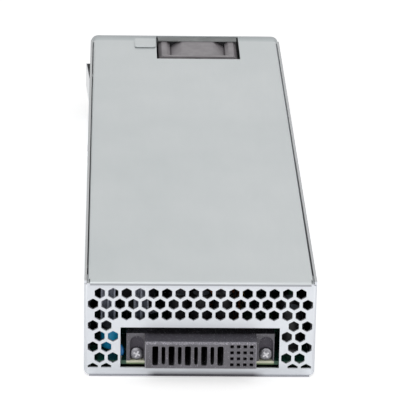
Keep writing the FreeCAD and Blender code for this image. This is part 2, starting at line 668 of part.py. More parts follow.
def release_tab():
    """Moulded tab: a wedge that backs the ramp, and an arm that reaches out through the outer panel."""
    low = LATCH_LOW + 1.4
    high = LATCH_TOP - 1.4
    wedge_start = LATCH_RAMP_Y + 4.0
    wedge_end = LATCH_END - 0.3
    rise = (0, 0, LATCH_TOP - LATCH_LOW - 0.4)
    wedge = prism([(-43.6, wedge_start, LATCH_LOW), (-43.6, wedge_end, LATCH_LOW),
                   ramp_point(wedge_end, LATCH_SHEET + 0.02), ramp_point(wedge_start, LATCH_SHEET + 0.02)], rise)
    wedge.translate(V(0, 0, 0.2))
    arm = box(-44.0, -42.2, wedge_start - 6.0, CASE_L + 9.0, low + 1.0, high - 1.0)
    pad = round_box(-44.0, -41.6, CASE_L + 3.0, CASE_L + 14.0, low - 0.4, high + 0.4, X_AXIS, 2.5)
    grips = [block(-41.5, CASE_L + y, 0.8, 0.8, low + 1.5, high - 1.5) for y in (6.0, 8.5, 11.0)]
    return fuse([wedge, arm, pad] + grips)


def light_pipe():
    """Clear rod that carries the status light to the outer panel."""
    rod_end = CASE_L + 0.8
    shank = bar((LED_X, PAN_INNER - 12, LED_Z), (0, 1, 0), 1.5, rod_end - PAN_INNER + 11.6, 20)
    tip = tapered_bar((LED_X, rod_end - 0.4, LED_Z), (0, 1, 0), 1.5, 1.1, 0.4, 20)
    collar = bar((LED_X, PAN_INNER - 1.2, LED_Z), (0, 1, 0), 2.4, 1.2, 20)
    return fuse([shank, tip, collar])


def status_board():
    """Small upright board behind the light pipe, with its lamp."""
    y = PAN_INNER - 15.6
    board = box(LED_X - 5, LED_X + 8, y, y + 1.2, 4.0, 33.0)
    lamp = block(LED_X, y + 2.3, 3.0, 2.2, LED_Z - 1.2, LED_Z + 1.2)
    plug = block(LED_X + 2, y + 3.2, 7.0, 4.0, 8.0, 14.0)
    return fuse([board, lamp, plug])


# ---------------------------------------------------------------- board and connector

def main_board():
    board = box(-BOARD_HALF_W, BOARD_HALF_W, BOARD_FRONT, BOARD_BACK, BOARD_LOW, BOARD_TOP)
    return board.cut(group([bar((x, y, 0), (0, 0, 1), 1.8, 9, 12) for x, y in BOARD_SCREWS]))


def board_standoffs():
    return group([bar((x, y, SHEET), (0, 0, 1), 5.5 / math.sqrt(3), BOARD_LOW - SHEET, 6).cut(
        bar((x, y, 0), (0, 0, 1), 1.4, 9, 8)) for x, y in BOARD_SCREWS])


def board_screws():
    return group([screw((x, y, BOARD_TOP), (0, 0, 1), BOARD_SCREW, BOARD_TOP - SHEET - 0.6)
                  for x, y in BOARD_SCREWS])


def insulation_sheet():
    """Film under the board, notched at its edges round the standoffs."""
    sheet = box(-42.5, 42.5, 3.0, BOARD_BACK - 1, SHEET, SHEET + 0.3)
    return sheet.cut(group([block(x + math.copysign(5.0, x), y, 17.0, 7.0, 0, 5) for x, y in BOARD_SCREWS]))


def wide_slot_places():
    return [FIRST_POWER_X + k * POWER_PITCH for k in range(WIDE_SLOTS)]


def narrow_slot_places():
    return [x + POWER_PITCH / 2 for x in wide_slot_places()[:-1]]


def signal_places():
    """x, z and row number of each signal way."""
    return [(FIRST_SIGNAL_X + column * SIGNAL_PITCH, SLOT_Z + (row - 1.5) * SIGNAL_PITCH, row)
            for row in range(SIGNAL_ROWS) for column in range(SIGNAL_ROWS)]


def blade_slot(x, half, low, high):
    """Upright slot with clipped corners, right through the connector."""
    clip = 0.4
    outline = [(x - half, low + clip), (x - half + clip, low), (x + half - clip, low), (x + half, low + clip),
               (x + half, high - clip), (x + half - clip, high), (x - half + clip, high), (x - half, high - clip)]
    return prism([(px, NOSE_FRONT - 1, pz) for px, pz in outline], (0, CONNECTOR_BACK - NOSE_FRONT + 2, 0))


def connector_housing():
    """Moulding with a proud nose and an ear at each end, slotted for power and signal contacts."""
    back = box(EAR_LEFT, EAR_RIGHT, EAR_FRONT, CONNECTOR_BACK, BOARD_TOP, CONNECTOR_TOP)
    nose = box(NOSE_LEFT, NOSE_RIGHT, NOSE_FRONT, EAR_FRONT, NOSE_LOW, CONNECTOR_TOP)
    rim = [e for e in nose.Edges if abs(e.CenterOfMass.y - NOSE_FRONT) < 0.01]
    housing = fuse([back, nose.makeChamfer(0.35, rim)])
    cuts = []
    for x in wide_slot_places():
        cuts.append(blade_slot(x, 1.2, SLOT_Z - 4.25, SLOT_Z + 3.9))
    for x in narrow_slot_places():
        cuts.append(blade_slot(x, 0.75, SLOT_Z - 3.85, SLOT_Z + 3.7))
    for x, z, row in signal_places():
        cuts.append(box(x - 0.7, x + 0.7, NOSE_FRONT - 1, CONNECTOR_BACK + 1, z - 0.65, z + 0.65))
    recess_end = EAR_FRONT + EAR_RECESS_DEPTH
    for x, z in CONNECTOR_SCREWS:
        arch_z = EAR_RECESS_TOP - EAR_RECESS_R
        cuts.append(bar((x, EAR_FRONT - 1, z), (0, 1, 0), 1.42, 10.2, 8))
        cuts.append(rod((x, EAR_FRONT - 1, arch_z), (0, 1, 0), EAR_RECESS_R, recess_end - EAR_FRONT + 1))
        cuts.append(box(x - EAR_RECESS_R, x + EAR_RECESS_R, EAR_FRONT - 1, recess_end, BOARD_TOP - 1, arch_z))
    return housing.cut(group(cuts))


def connector_screws():
    seat = EAR_FRONT + EAR_RECESS_DEPTH
    return group([screw((x, seat, z), (0, -1, 0), CONNECTOR_SCREW, 6.5) for x, z in CONNECTOR_SCREWS])


def power_contacts():
    """Flat blades in the power slots, with tails down to the board."""
    contacts = []
    for places, thickness, height in ((wide_slot_places(), 1.2, 6.6), (narrow_slot_places(), 0.8, 6.0)):
        for x in places:
            blade = box(x - thickness / 2, x + thickness / 2, CONTACT_FRONT, CONNECTOR_BACK + 2.1,
                        SLOT_Z - height / 2, SLOT_Z + height / 2)
            tail = block(x, 13.2, thickness, 1.8, BOARD_TOP, SLOT_Z)
            contacts.append(fuse([blade, tail]))
    return group(contacts)


def signal_contacts():
    """Square pins, each row bent down to the board a little further back."""
    contacts = []
    for x, z, row in signal_places():
        bend_y = CONNECTOR_BACK + 1.2 + row * 1.6
        pin = box(x - 0.3, x + 0.3, CONTACT_FRONT - 4.0, bend_y + 0.3, z - 0.3, z + 0.3)
        tail = box(x - 0.3, x + 0.3, bend_y - 0.3, bend_y + 0.3, BOARD_TOP, z)
        contacts.append(fuse([pin, tail]))
    return group(contacts)


# ---------------------------------------------------------------- components on the board

def can(x, y, radius, height):
    """Upright electrolytic capacitor."""
    return rod((x, y, BOARD_TOP), (0, 0, 1), radius, height)


def blue_capacitors():
    return group([can(-34.5, 15.9, 4.5, 9.3)])


def output_capacitors():
    places = [(36.2, 11.5), (36.2, 21.0), (-8.0, 26.0), (1.0, 26.0), (10.0, 26.0)]
    return group([bar((x, y, BOARD_TOP), (0, 0, 1), 4.0, 19.0, 24) for x, y in places])


def finned_block(x0, x1, y0, y1, z0, z1, fin, pitch):
    """Aluminium extrusion: upright plates that face the connector end, joined at the back."""
    web = box(x0, x1, y1 - 2.0, y1, z0, z1)
    count = int((x1 - x0 - fin) / pitch) + 1
    spread = (x1 - x0 - fin) / (count - 1)
    fins = [box(x0 + k * spread, x0 + k * spread + fin, y0, y1, z0, z1) for k in range(count)]
    return fuse([web] + fins)


def rectifier_heatsinks():
    return group([finned_block(left, left + 6.0, 21.5, 30.0, BOARD_TOP + 2, 36.5, 0.9, 2.5)
                  for left in (-39.0, -25.8)])


def power_package(x, y, z, facing):
    """Three-lead power transistor, flat against a heat sink, on the side given by facing."""
    body = box(x, x + facing * 4.6, y - 7.8, y + 7.8, z, z + 20.0) if facing > 0 else \
        box(x - 4.6, x, y - 7.8, y + 7.8, z, z + 20.0)
    lead_x = x + facing * 2.3
    leads = [block(lead_x, y + k * 5.45, 0.8, 1.2, BOARD_TOP, z + 0.5) for k in (-1, 0, 1)]
    return fuse([body] + leads)


def rectifiers():
    return group([power_package(-26.0, 44.0, 12.0, -1), power_package(-26.0, 62.0, 12.0, -1),
                  power_package(-26.0, 80.0, 12.0, -1)])


def output_heatsink():
    """Long plate with side fins behind the rectifiers."""
    plate = box(-26.0, -23.5, 34.0, 90.0, BOARD_TOP + 1, 37.0)
    fins = [box(-23.6, -17.0, 34.0, 90.0, z, z + 1.2) for z in (12.0, 18.0, 24.0, 30.0, 35.8)]
    return fuse([plate] + fins)


def ring_core(x, y, z, outer, inner, height):
    """Ring of pressed powder; its radii are measured to the corners of its 24 sides."""
    hole = bar((x, y, z - 1), (0, 0, 1), inner / math.cos(math.pi / 24), height + 2, 24)
    return bar((x, y, z), (0, 0, 1), outer, height, 24).cut(hole)


def ring_winding(x, y, z, outer, inner, height, wire, turns, gap_degrees):
    """Turns of flat wire round a ring core, leaving a gap."""
    loops = []
    for k in range(turns):
        angle = gap_degrees / 2 + (360 - gap_degrees) * k / (turns - 1)
        start = x + inner - CORE_EASE
        loop = box(start - wire, x + outer + wire, y - wire / 2, y + wire / 2, z - wire, z + height + wire)
        loop = loop.cut(box(start, x + outer, y - wire, y + wire, z, z + height))
        loops.append(turned(loop, (x, y, 0), Z_AXIS, angle))
    return group(loops)


CORE_EASE = 0.06
OUTPUT_CHOKE = (4.5, 48.0, 7.5, 13.0, 7.5, 14.0)
BOOST_CHOKE = (-22.0, 196.0, 7.6, 17.0, 9.0, 18.0)
LINE_CHOKE = (-24.0, 246.0, 7.5, 13.0, 7.5, 14.0)


def output_choke_core():
    return ring_core(*OUTPUT_CHOKE)


def output_choke_winding():
    return ring_winding(*OUTPUT_CHOKE, 1.6, 9, 60)


def boost_choke_core():
    return ring_core(*BOOST_CHOKE)


def boost_choke_winding():
    return ring_winding(*BOOST_CHOKE, 1.8, 13, 30)


def line_choke_core():
    return ring_core(*LINE_CHOKE)


def line_choke_winding():
    return ring_winding(*LINE_CHOKE, 1.6, 10, 40)


TRANSFORMER_X = 6.0
TRANSFORMER_Y = 84.0


def transformer_core():
    """Two E-shaped ferrite halves, closed round the winding."""
    core = block(TRANSFORMER_X, TRANSFORMER_Y, 34.0, 30.0, BOARD_TOP + 3, BOARD_TOP + 29)
    windows = [block(TRANSFORMER_X + k * 9.5, TRANSFORMER_Y, 8.0, 32.0, BOARD_TOP + 7, BOARD_TOP + 25)
               for k in (-1, 1)]
    return core.cut(group(windows))


def transformer_winding():
    """Taped winding on its bobbin, with pin rails on the board."""
    x = TRANSFORMER_X
    y = TRANSFORMER_Y
    coil = box(x - 13.2, x + 13.2, y - 19, y + 19, BOARD_TOP + 7.3, BOARD_TOP + 24.7)
    coil = coil.makeChamfer(4.0, [e for e in coil.Edges if abs(e.Length - 17.4) < 0.01])
    middle = block(x, y, 11.2, 30.4, BOARD_TOP + 2, BOARD_TOP + 30)
    coil = coil.cut(middle)
    rails = [box(x - 14, x + 14, y + side * 17.5 - 2, y + side * 17.5 + 2, BOARD_TOP, BOARD_TOP + 7.5)
             for side in (-1, 1)]
    return fuse([coil] + rails)


def lying_can(x, y0, y1, radius):
    """Large electrolytic capacitor lying along the board."""
    return bar((x, y0, BOARD_TOP + radius + 0.3), (0, 1, 0), radius, y1 - y0, 36)


def bulk_capacitors():
    return group([lying_can(-24.5, 112.0, 162.0, 15.0), lying_can(7.0, 112.0, 162.0, 15.0)])


def primary_heatsink():
    """Finned extrusion along the right wall."""
    base = box(26.0, 29.0, 104.0, 228.0, BOARD_TOP + 1, 37.5)
    fins = [box(28.9, 41.0, 104.0, 228.0, z, z + 1.3) for z in (9.0, 14.5, 20.0, 25.5, 31.0, 36.2)]
    return fuse([base] + fins)


def power_transistors():
    return group([power_package(26.0, y, 12.0, -1) for y in (178.0, 196.0, 214.0)])


def bridge_rectifier():
    body = box(12.0, 16.5, 214.0, 244.0, 10.0, 30.0)
    body = body.makeChamfer(2.5, [e for e in body.Edges
                                  if abs(e.CenterOfMass.z - 30.0) < 0.01 and e.CenterOfMass.y > 243.9])
    leads = [block(14.2, 218.0 + 7.5 * k, 0.9, 1.4, BOARD_TOP, 10.5) for k in range(4)]
    return fuse([body] + leads)


def film_capacitors():
    """Box film capacitors across the line."""
    cans = [block(2.5, 262.0, 26.0, 12.0, BOARD_TOP, BOARD_TOP + 19), block(28.0, 247.0, 18.0, 9.0, BOARD_TOP,
                                                                          BOARD_TOP + 15)]
    return group(cans)


def inrush_relay():
    cover = block(-4.5, 229.0, 12.5, 20.0, BOARD_TOP + 0.4, BOARD_TOP + 16)
    return fuse([cover, block(-4.5, 229.0, 11.0, 18.0, BOARD_TOP, BOARD_TOP + 0.5)])


FUSE_X = 36.0
FUSE_Y = 262.0


def line_fuse():
    """Ceramic fuse with a metal cap at each end, lying on the board."""
    z = BOARD_TOP + 4.2
    tube = bar((FUSE_X - 10, FUSE_Y - 6, z), (1, 0, 0), 2.5, 14, 16)
    caps = [bar((x, FUSE_Y - 6, z), (1, 0, 0), 2.9, 4, 16) for x in (FUSE_X - 11, FUSE_X + 1)]
    clips = [block(x, FUSE_Y - 6, 1.0, 5.0, BOARD_TOP, z - 1.0) for x in (FUSE_X - 9, FUSE_X + 3)]
    return fuse([tube] + caps + clips)


def control_board():
    """Upright plug-in board with its packages."""
    x = 38.5
    board = box(x, x + 1.2, 40.0, 100.0, BOARD_TOP, 33.0)
    chips = [box(x - 1.3, x + 0.2, y, y + length, z, z + height)
             for y, length, z, height in ((46.0, 9.0, 12.0, 9.0), (60.0, 6.0, 12.0, 5.0), (60.0, 6.0, 22.0, 5.0),
                                          (72.0, 10.0, 14.0, 7.0), (88.0, 5.0, 12.0, 4.0), (88.0, 5.0, 20.0, 4.0))]
    return fuse([board] + chips)


def bus_bars():
    """Copper bars from the output stage to the connector's power contacts."""
    bars = []
    for left, right in ((-18.6, -3.0), (-1.0, 11.0)):
        foot = box(left, right, 15.5, 20.5, BOARD_TOP, BOARD_TOP + 1.5)
        rise = box(left, right, 19.0, 20.5, BOARD_TOP, BOARD_TOP + 6.0)
        bars.append(fuse([foot, rise]))
    return group(bars)


NODES = (chassis_tray, connector_end_panel, top_cover, cover_screws, cover_clip, outer_end_panel,
         fan_frame, fan_bearing, fan_rotor, fan_shaft, fan_gasket, fan_screws,
         inlet_housing, inlet_pins, handle_bail, handle_lugs, latch_spring, latch_rivets, release_tab,
         light_pipe, status_board, main_board, board_standoffs, board_screws, insulation_sheet,
         connector_housing, connector_screws, power_contacts, signal_contacts,
         blue_capacitors, output_capacitors, rectifier_heatsinks, output_heatsink, rectifiers,
         output_choke_core, output_choke_winding, transformer_core, transformer_winding,
         bulk_capacitors, boost_choke_core, boost_choke_winding, primary_heatsink, power_transistors,
         bridge_rectifier, line_choke_core, line_choke_winding, film_capacitors, inrush_relay, line_fuse,
         control_board, bus_bars)

os.makedirs("parts", exist_ok=True)
for make in NODES:
    save(make.__name__, make())
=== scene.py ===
import json
import math

import bmesh
import bpy
from mathutils import Matrix, Vector


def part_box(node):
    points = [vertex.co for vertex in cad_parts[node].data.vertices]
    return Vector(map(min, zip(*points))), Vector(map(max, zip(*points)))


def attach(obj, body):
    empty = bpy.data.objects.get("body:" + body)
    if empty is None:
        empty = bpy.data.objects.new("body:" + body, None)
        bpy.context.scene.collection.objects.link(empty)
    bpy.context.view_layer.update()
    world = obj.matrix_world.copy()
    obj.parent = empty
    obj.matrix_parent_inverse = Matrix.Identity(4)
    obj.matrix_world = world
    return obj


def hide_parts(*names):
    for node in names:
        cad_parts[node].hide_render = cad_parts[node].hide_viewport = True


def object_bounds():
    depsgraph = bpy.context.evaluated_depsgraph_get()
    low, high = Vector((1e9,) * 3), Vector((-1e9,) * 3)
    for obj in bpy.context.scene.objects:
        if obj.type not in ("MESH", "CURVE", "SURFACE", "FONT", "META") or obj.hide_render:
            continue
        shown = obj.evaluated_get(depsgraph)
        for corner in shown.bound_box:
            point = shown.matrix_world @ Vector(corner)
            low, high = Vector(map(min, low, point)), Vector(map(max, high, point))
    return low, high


# The looks of a hot swap server power supply: a finish for every solid, softened edges, finer meshes for
# most screws and capacitors, the chokes and the fan rotor, then the floor, lamps and camera. Lengths are in
# metres, apart from the camera's lens and sensor.

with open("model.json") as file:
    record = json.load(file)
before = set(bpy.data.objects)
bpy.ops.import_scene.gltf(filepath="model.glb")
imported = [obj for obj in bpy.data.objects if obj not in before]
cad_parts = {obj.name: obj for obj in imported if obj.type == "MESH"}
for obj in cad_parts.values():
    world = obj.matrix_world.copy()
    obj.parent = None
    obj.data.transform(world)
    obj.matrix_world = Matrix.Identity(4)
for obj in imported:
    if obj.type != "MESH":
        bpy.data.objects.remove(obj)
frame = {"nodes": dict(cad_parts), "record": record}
CAD_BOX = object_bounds()
NODES = frame["nodes"]

# The case in the frame: its side, the end panel's front behind the connector's nose, and its far end (metres)
HALF_WIDTH = CAD_BOX[1].x
NOSE_REACH = 0.0070
PANEL_FRONT = CAD_BOX[0].y + NOSE_REACH
EAR_FRONT = PANEL_FRONT + 0.0017
CASE_END = -PANEL_FRONT

# Camera, where the case's underside centre is the origin (metres and degrees; lens and sensor in millimetres)
CAMERA_AT = Vector((-0.0355, -1.2632, 0.4911))
CAMERA_HEADING = 1.791
CAMERA_DIP = 20.667
CAMERA_ROLL = 1.019
CAMERA_LENS = 276.8
SENSOR = 36.0

# Light on the object from all round, and what the camera sees added to the floor
WORLD_LIGHT = 0.42
FLOOR_LIFT = 0.5


# ---------------------------------------------------------------- materials

def srgb(red, green, blue):
    """A display colour from 0 to 255 as the linear colour that a shader takes."""
    def linear(value):
        value /= 255.0
        return value / 12.92 if value <= 0.04045 else ((value + 0.055) / 1.055) ** 2.4
    return (linear(red), linear(green), linear(blue), 1.0)


class Finish:
    """A Principled surface whose colour, roughness and relief come from procedural nodes.

    A ramp is (value, where it starts, where it is full), and runs either way.
    """

    NOISE_ROUGHNESS = 0.55
    # The mix node's colour sockets by number, because its number sockets have the same names
    FIRST_COLOUR, SECOND_COLOUR, MIXED_COLOUR = 6, 7, 2

    def __init__(self, name, roughness, metallic=0.0, specular=0.5):
        self.material = bpy.data.materials.new(name)
        self.material.use_nodes = True
        self.tree = self.material.node_tree
        self.shader = self.tree.nodes["Principled BSDF"]
        self.set("Metallic", metallic)
        self.set("Roughness", roughness)
        self.set("Specular IOR Level", specular)
        self.place = self.tree.nodes.new("ShaderNodeTexCoord").outputs["Object"]
        self.relief = None

    def set(self, socket, value):
        self.shader.inputs[socket].default_value = value

    def new(self, kind, **settings):
        node = self.tree.nodes.new(kind)
        for key, value in settings.items():
            setattr(node, key, value)
        return node

    def link(self, source, target):
        self.tree.links.new(source, target)

    # Values over the surface

    def stretched(self, stretch):
        """Place with each axis scaled, where a scale under 1 draws a pattern out."""
        mapping = self.new("ShaderNodeMapping")
        mapping.inputs["Scale"].default_value = stretch
        self.link(self.place, mapping.inputs["Vector"])
        return mapping.outputs["Vector"]

    def noise(self, scale, stretch=(1, 1, 1), detail=4.0, distortion=0.0):
        """Cloudy pattern of values around a half."""
        node = self.new("ShaderNodeTexNoise")
        node.inputs["Scale"].default_value = scale
        node.inputs["Detail"].default_value = detail
        node.inputs["Roughness"].default_value = self.NOISE_ROUGHNESS
        node.inputs["Distortion"].default_value = distortion
        self.link(self.stretched(stretch), node.inputs["Vector"])
        return node.outputs["Fac"]

    def cells(self, scale, stretch):
        """Irregular cells, as the distance from the nearest cell's point."""
        node = self.new("ShaderNodeTexVoronoi")
        node.inputs["Scale"].default_value = scale
        self.link(self.stretched(stretch), node.inputs["Vector"])
        return node.outputs["Distance"]

    def part_of(self, vector, axis):
        """A vector's part along an axis."""
        node = self.new("ShaderNodeSeparateXYZ")
        self.link(vector, node.inputs["Vector"])
        return node.outputs[axis]

    def unsigned(self, value):
        """The size of a value, without its sign."""
        node = self.new("ShaderNodeMath", operation="ABSOLUTE")
        self.link(value, node.inputs[0])
        return node.outputs[0]

    def along(self, axis):
        """Place along an axis, in metres."""
        return self.part_of(self.place, axis)

    def beside(self, axis):
        """Distance from the middle plane across an axis."""
        return self.unsigned(self.along(axis))

    def facing(self, axis):
        """How squarely the surface faces along an axis, either way: 0 to 1."""
        return self.unsigned(self.part_of(self.new("ShaderNodeNewGeometry").outputs["True Normal"], axis))

    def square_to(self, axis, start=0.6, full=0.8):
        """Ramp that takes in the faces square to an axis."""
        return (self.facing(axis), start, full)

    def remap(self, factor, low, high, to_low=0.0, to_high=1.0):
        """Carries one range of values over to another, and holds what lies outside at its ends."""
        node = self.new("ShaderNodeMapRange")
        node.inputs["From Min"].default_value = low
        node.inputs["From Max"].default_value = high
        node.inputs["To Min"].default_value = to_low
        node.inputs["To Max"].default_value = to_high
        self.link(factor, node.inputs["Value"])
        return node.outputs["Result"]

    def product(self, ramps):
        """Ramps multiplied: 1 where all of them are full."""
        result = None
        for value, start, full in ramps:
            ramp = self.remap(value, start, full)
            if result is not None:
                node = self.new("ShaderNodeMath", operation="MULTIPLY")
                self.link(result, node.inputs[0])
                self.link(ramp, node.inputs[1])
                ramp = node.outputs[0]
            result = ramp
        return result

    # Colours

    def mix(self, factor, first, second):
        """Mixes two colours; each is a colour or an output."""
        node = self.new("ShaderNodeMix", data_type="RGBA")
        self.link(factor, node.inputs["Factor"])
        for number, value in ((self.FIRST_COLOUR, first), (self.SECOND_COLOUR, second)):
            if isinstance(value, tuple):
                node.inputs[number].default_value = value
            else:
                self.link(value, node.inputs[number])
        return node.outputs[self.MIXED_COLOUR]

    def colour(self, output):
        """Takes the base colour from an output."""
        self.link(output, self.shader.inputs["Base Color"])

    def stain(self, colour, *ramps):
        """Lays another colour over the base colour, where all the ramps are full."""
        below = self.shader.inputs["Base Color"].links[0].from_socket
        self.colour(self.mix(self.product(ramps), below, colour))

    # Surface

    def rough(self, factor, low, high):
        """Roughness from low to high over a pattern's middle values."""
        self.link(self.remap(factor, 0.3, 0.7, low, high), self.shader.inputs["Roughness"])

    def bump(self, factor, height, strength):
        """Relief of a real height in metres."""
        node = self.new("ShaderNodeBump")
        node.inputs["Distance"].default_value = height
        node.inputs["Strength"].default_value = strength
        self.link(factor, node.inputs["Height"])
        if self.relief is not None:
            self.link(self.relief, node.inputs["Normal"])
        self.relief = node.outputs["Normal"]
        self.link(self.relief, self.shader.inputs["Normal"])


def sheet_steel(name, dark, light, roughness=0.42):
    """Sheet or extruded metal: faint cloudiness, grain along the case and paler rub marks."""
    finish = Finish(name, metallic=0.7, roughness=roughness)
    cloud = finish.noise(14.0, detail=3.0)
    grain = finish.noise(900.0, stretch=(1, 0.04, 1), detail=5.0)
    base = finish.mix(finish.remap(cloud, 0.32, 0.68), dark, light)
    grained = finish.mix(finish.remap(grain, 0.2, 0.8, 0.0, 0.22), base, dark)
    smears = finish.noise(55.0, stretch=(1, 0.3, 1), detail=8.0, distortion=1.2)
    finish.colour(finish.mix(finish.remap(smears, 0.60, 0.78, 0.0, 0.35), grained, light))
    finish.rough(finish.noise(70.0, stretch=(1, 0.3, 1), detail=6.0), roughness - 0.07, roughness + 0.08)
    finish.bump(grain, 0.00001, 0.25)
    finish.bump(finish.noise(9.0, detail=2.0), 0.0002, 0.08)
    return finish


def tray_steel(name):
    """Case sheet, with painted shade on the inner side of its walls, on the faces behind the front, on the
    front of its foot (darker towards the bend), on the bend and on the tops of its walls, a painted shadow
    below the connector's nose, and painted light on the walls beside the lid towards the far end.
    """
    finish = sheet_steel(name, srgb(211, 214, 219), srgb(221, 224, 229), roughness=0.5)
    shade = srgb(34, 34, 37)

    # Front face of the foot: painted shade, darker towards the bend
    towards_bend = (finish.along("Z"), 0.0070, 0.0030)
    between_corners = (finish.beside("X"), 0.0440, 0.0400)
    finish.stain(srgb(202, 205, 210), finish.square_to("Y"), towards_bend, between_corners)

    # Inner side of the walls, which the seams beside the lid show: painted shade, lighter beside the lid, and
    # painted light there towards the far end
    inner_side = (finish.square_to("X", 0.7),
                  (finish.beside("X"), HALF_WIDTH - 0.00035, HALF_WIDTH - 0.00045))
    beside_lid = (finish.along("Z"), 0.0360, 0.0370)
    towards_far_end = (finish.along("Y"), -0.13, 0.03)
    finish.stain(shade, *inner_side)
    finish.stain(srgb(160, 161, 163), *inner_side, beside_lid)
    finish.stain(srgb(250, 251, 252), *inner_side, beside_lid, towards_far_end)

    # Painted shade on the faces across the case behind the front, up to its middle
    behind_front = (finish.along("Y"), PANEL_FRONT + 0.0004, PANEL_FRONT + 0.0006)
    front_half = (finish.along("Y"), 0.0, -0.01)
    finish.stain(shade, finish.square_to("Y", 0.7), behind_front, front_half)

    # Painted shade on the bend at the foot, and a painted shadow on the foot below the connector's nose
    bend_shade = (finish.along("Z"), 0.0009, 0.0001)
    finish.stain(srgb(140, 140, 148), bend_shade)
    nose_shadow = ((finish.along("Z"), 0.0024, 0.0004),
                  (finish.along("Y"), PANEL_FRONT + 0.0003, PANEL_FRONT + 0.0001),
                  (finish.along("X"), -0.0210, -0.0175), (finish.along("X"), 0.0260, 0.0210))
    finish.stain(srgb(96, 95, 100), *nose_shadow)

    # Painted shade on the tops of the walls
    wall_tops = (finish.along("Z"), 0.0385, 0.0395)
    finish.stain(srgb(182, 184, 185), finish.square_to("Z"), wall_tops)
    return finish


def cover_steel(name):
    """Lid sheet, with painted shade on the lower lip of its rolled front edge."""
    finish = sheet_steel(name, srgb(193, 198, 199), srgb(200, 204, 205), roughness=0.46)
    # Painted shade on the lower lip of the rolled front edge
    front_roll = (finish.along("Y"), PANEL_FRONT + 0.0007, PANEL_FRONT + 0.0005)
    lower_lip = (finish.along("Z"), 0.0396, 0.0392)
    finish.stain(srgb(160, 162, 167), front_roll, lower_lip)
    return finish


def end_steel(name):
    """Duller sheet of the outer panel, with painted shade on the slope around its rim and painted light on
    its flat top, paler away from the far end.
    """
    finish = sheet_steel(name, srgb(160, 165, 167), srgb(174, 179, 181), roughness=0.48)
    level = finish.facing("Z")
    # Painted shade on the slope around the rim
    slope = ((level, 0.4, 0.5), (level, 0.95, 0.85))
    rim = (finish.along("Y"), CASE_END - 0.00125, CASE_END - 0.00095)
    finish.stain(srgb(104, 107, 109), *slope, rim)
    # Painted light on the flat top, paler away from the far end
    flat_top = ((level, 0.8, 0.95), (finish.along("Y"), CASE_END - 0.00325, CASE_END - 0.00875))
    finish.stain(srgb(188, 194, 195), *flat_top)
    return finish


def bright_metal(name, dark, light, roughness=0.25, grain=600.0):
    """Bare or plated metal with small spots of tone and wear."""
    finish = Finish(name, metallic=1.0, roughness=roughness)
    spots = finish.noise(grain, detail=6.0)
    finish.colour(finish.mix(finish.remap(spots, 0.35, 0.7), dark, light))
    finish.rough(finish.noise(grain / 3, detail=4.0), roughness - 0.08, roughness + 0.1)
    finish.bump(spots, 0.00002, 0.3)
    return finish


def moulded(name, dark, light, roughness, grain=1500.0, relief=0.00003, specular=0.5):
    """Plastic or another dull material, with a fine grain, cloudiness and paler dusty specks."""
    finish = Finish(name, roughness=roughness, specular=specular)
    cloud = finish.noise(120.0, detail=5.0)
    speck = finish.noise(grain, detail=3.0)
    base = finish.mix(finish.remap(cloud, 0.3, 0.7), dark, light)
    finish.colour(finish.mix(finish.remap(speck, 0.62, 0.8, 0.0, 0.5), base, light))
    finish.rough(finish.noise(200.0, detail=5.0), roughness - 0.1, roughness + 0.1)
    finish.bump(speck, relief, 0.5)
    return finish


def fan_plastic(name):
    """Fan moulding, with painted shade on the inner side of its far flange."""
    finish = moulded(name, srgb(130, 126, 129), srgb(148, 143, 147), roughness=0.5)
    low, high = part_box("fan_frame")
    middle = (low.y + high.y) / 2
    # Painted shade on the inner side of the far flange
    far_half = (finish.along("Y"), middle, middle + 0.001)
    before_end = (finish.along("Y"), high.y - 0.0005, high.y - 0.001)
    finish.stain(srgb(26, 26, 30), finish.square_to("Y"), far_half, before_end)
    return finish


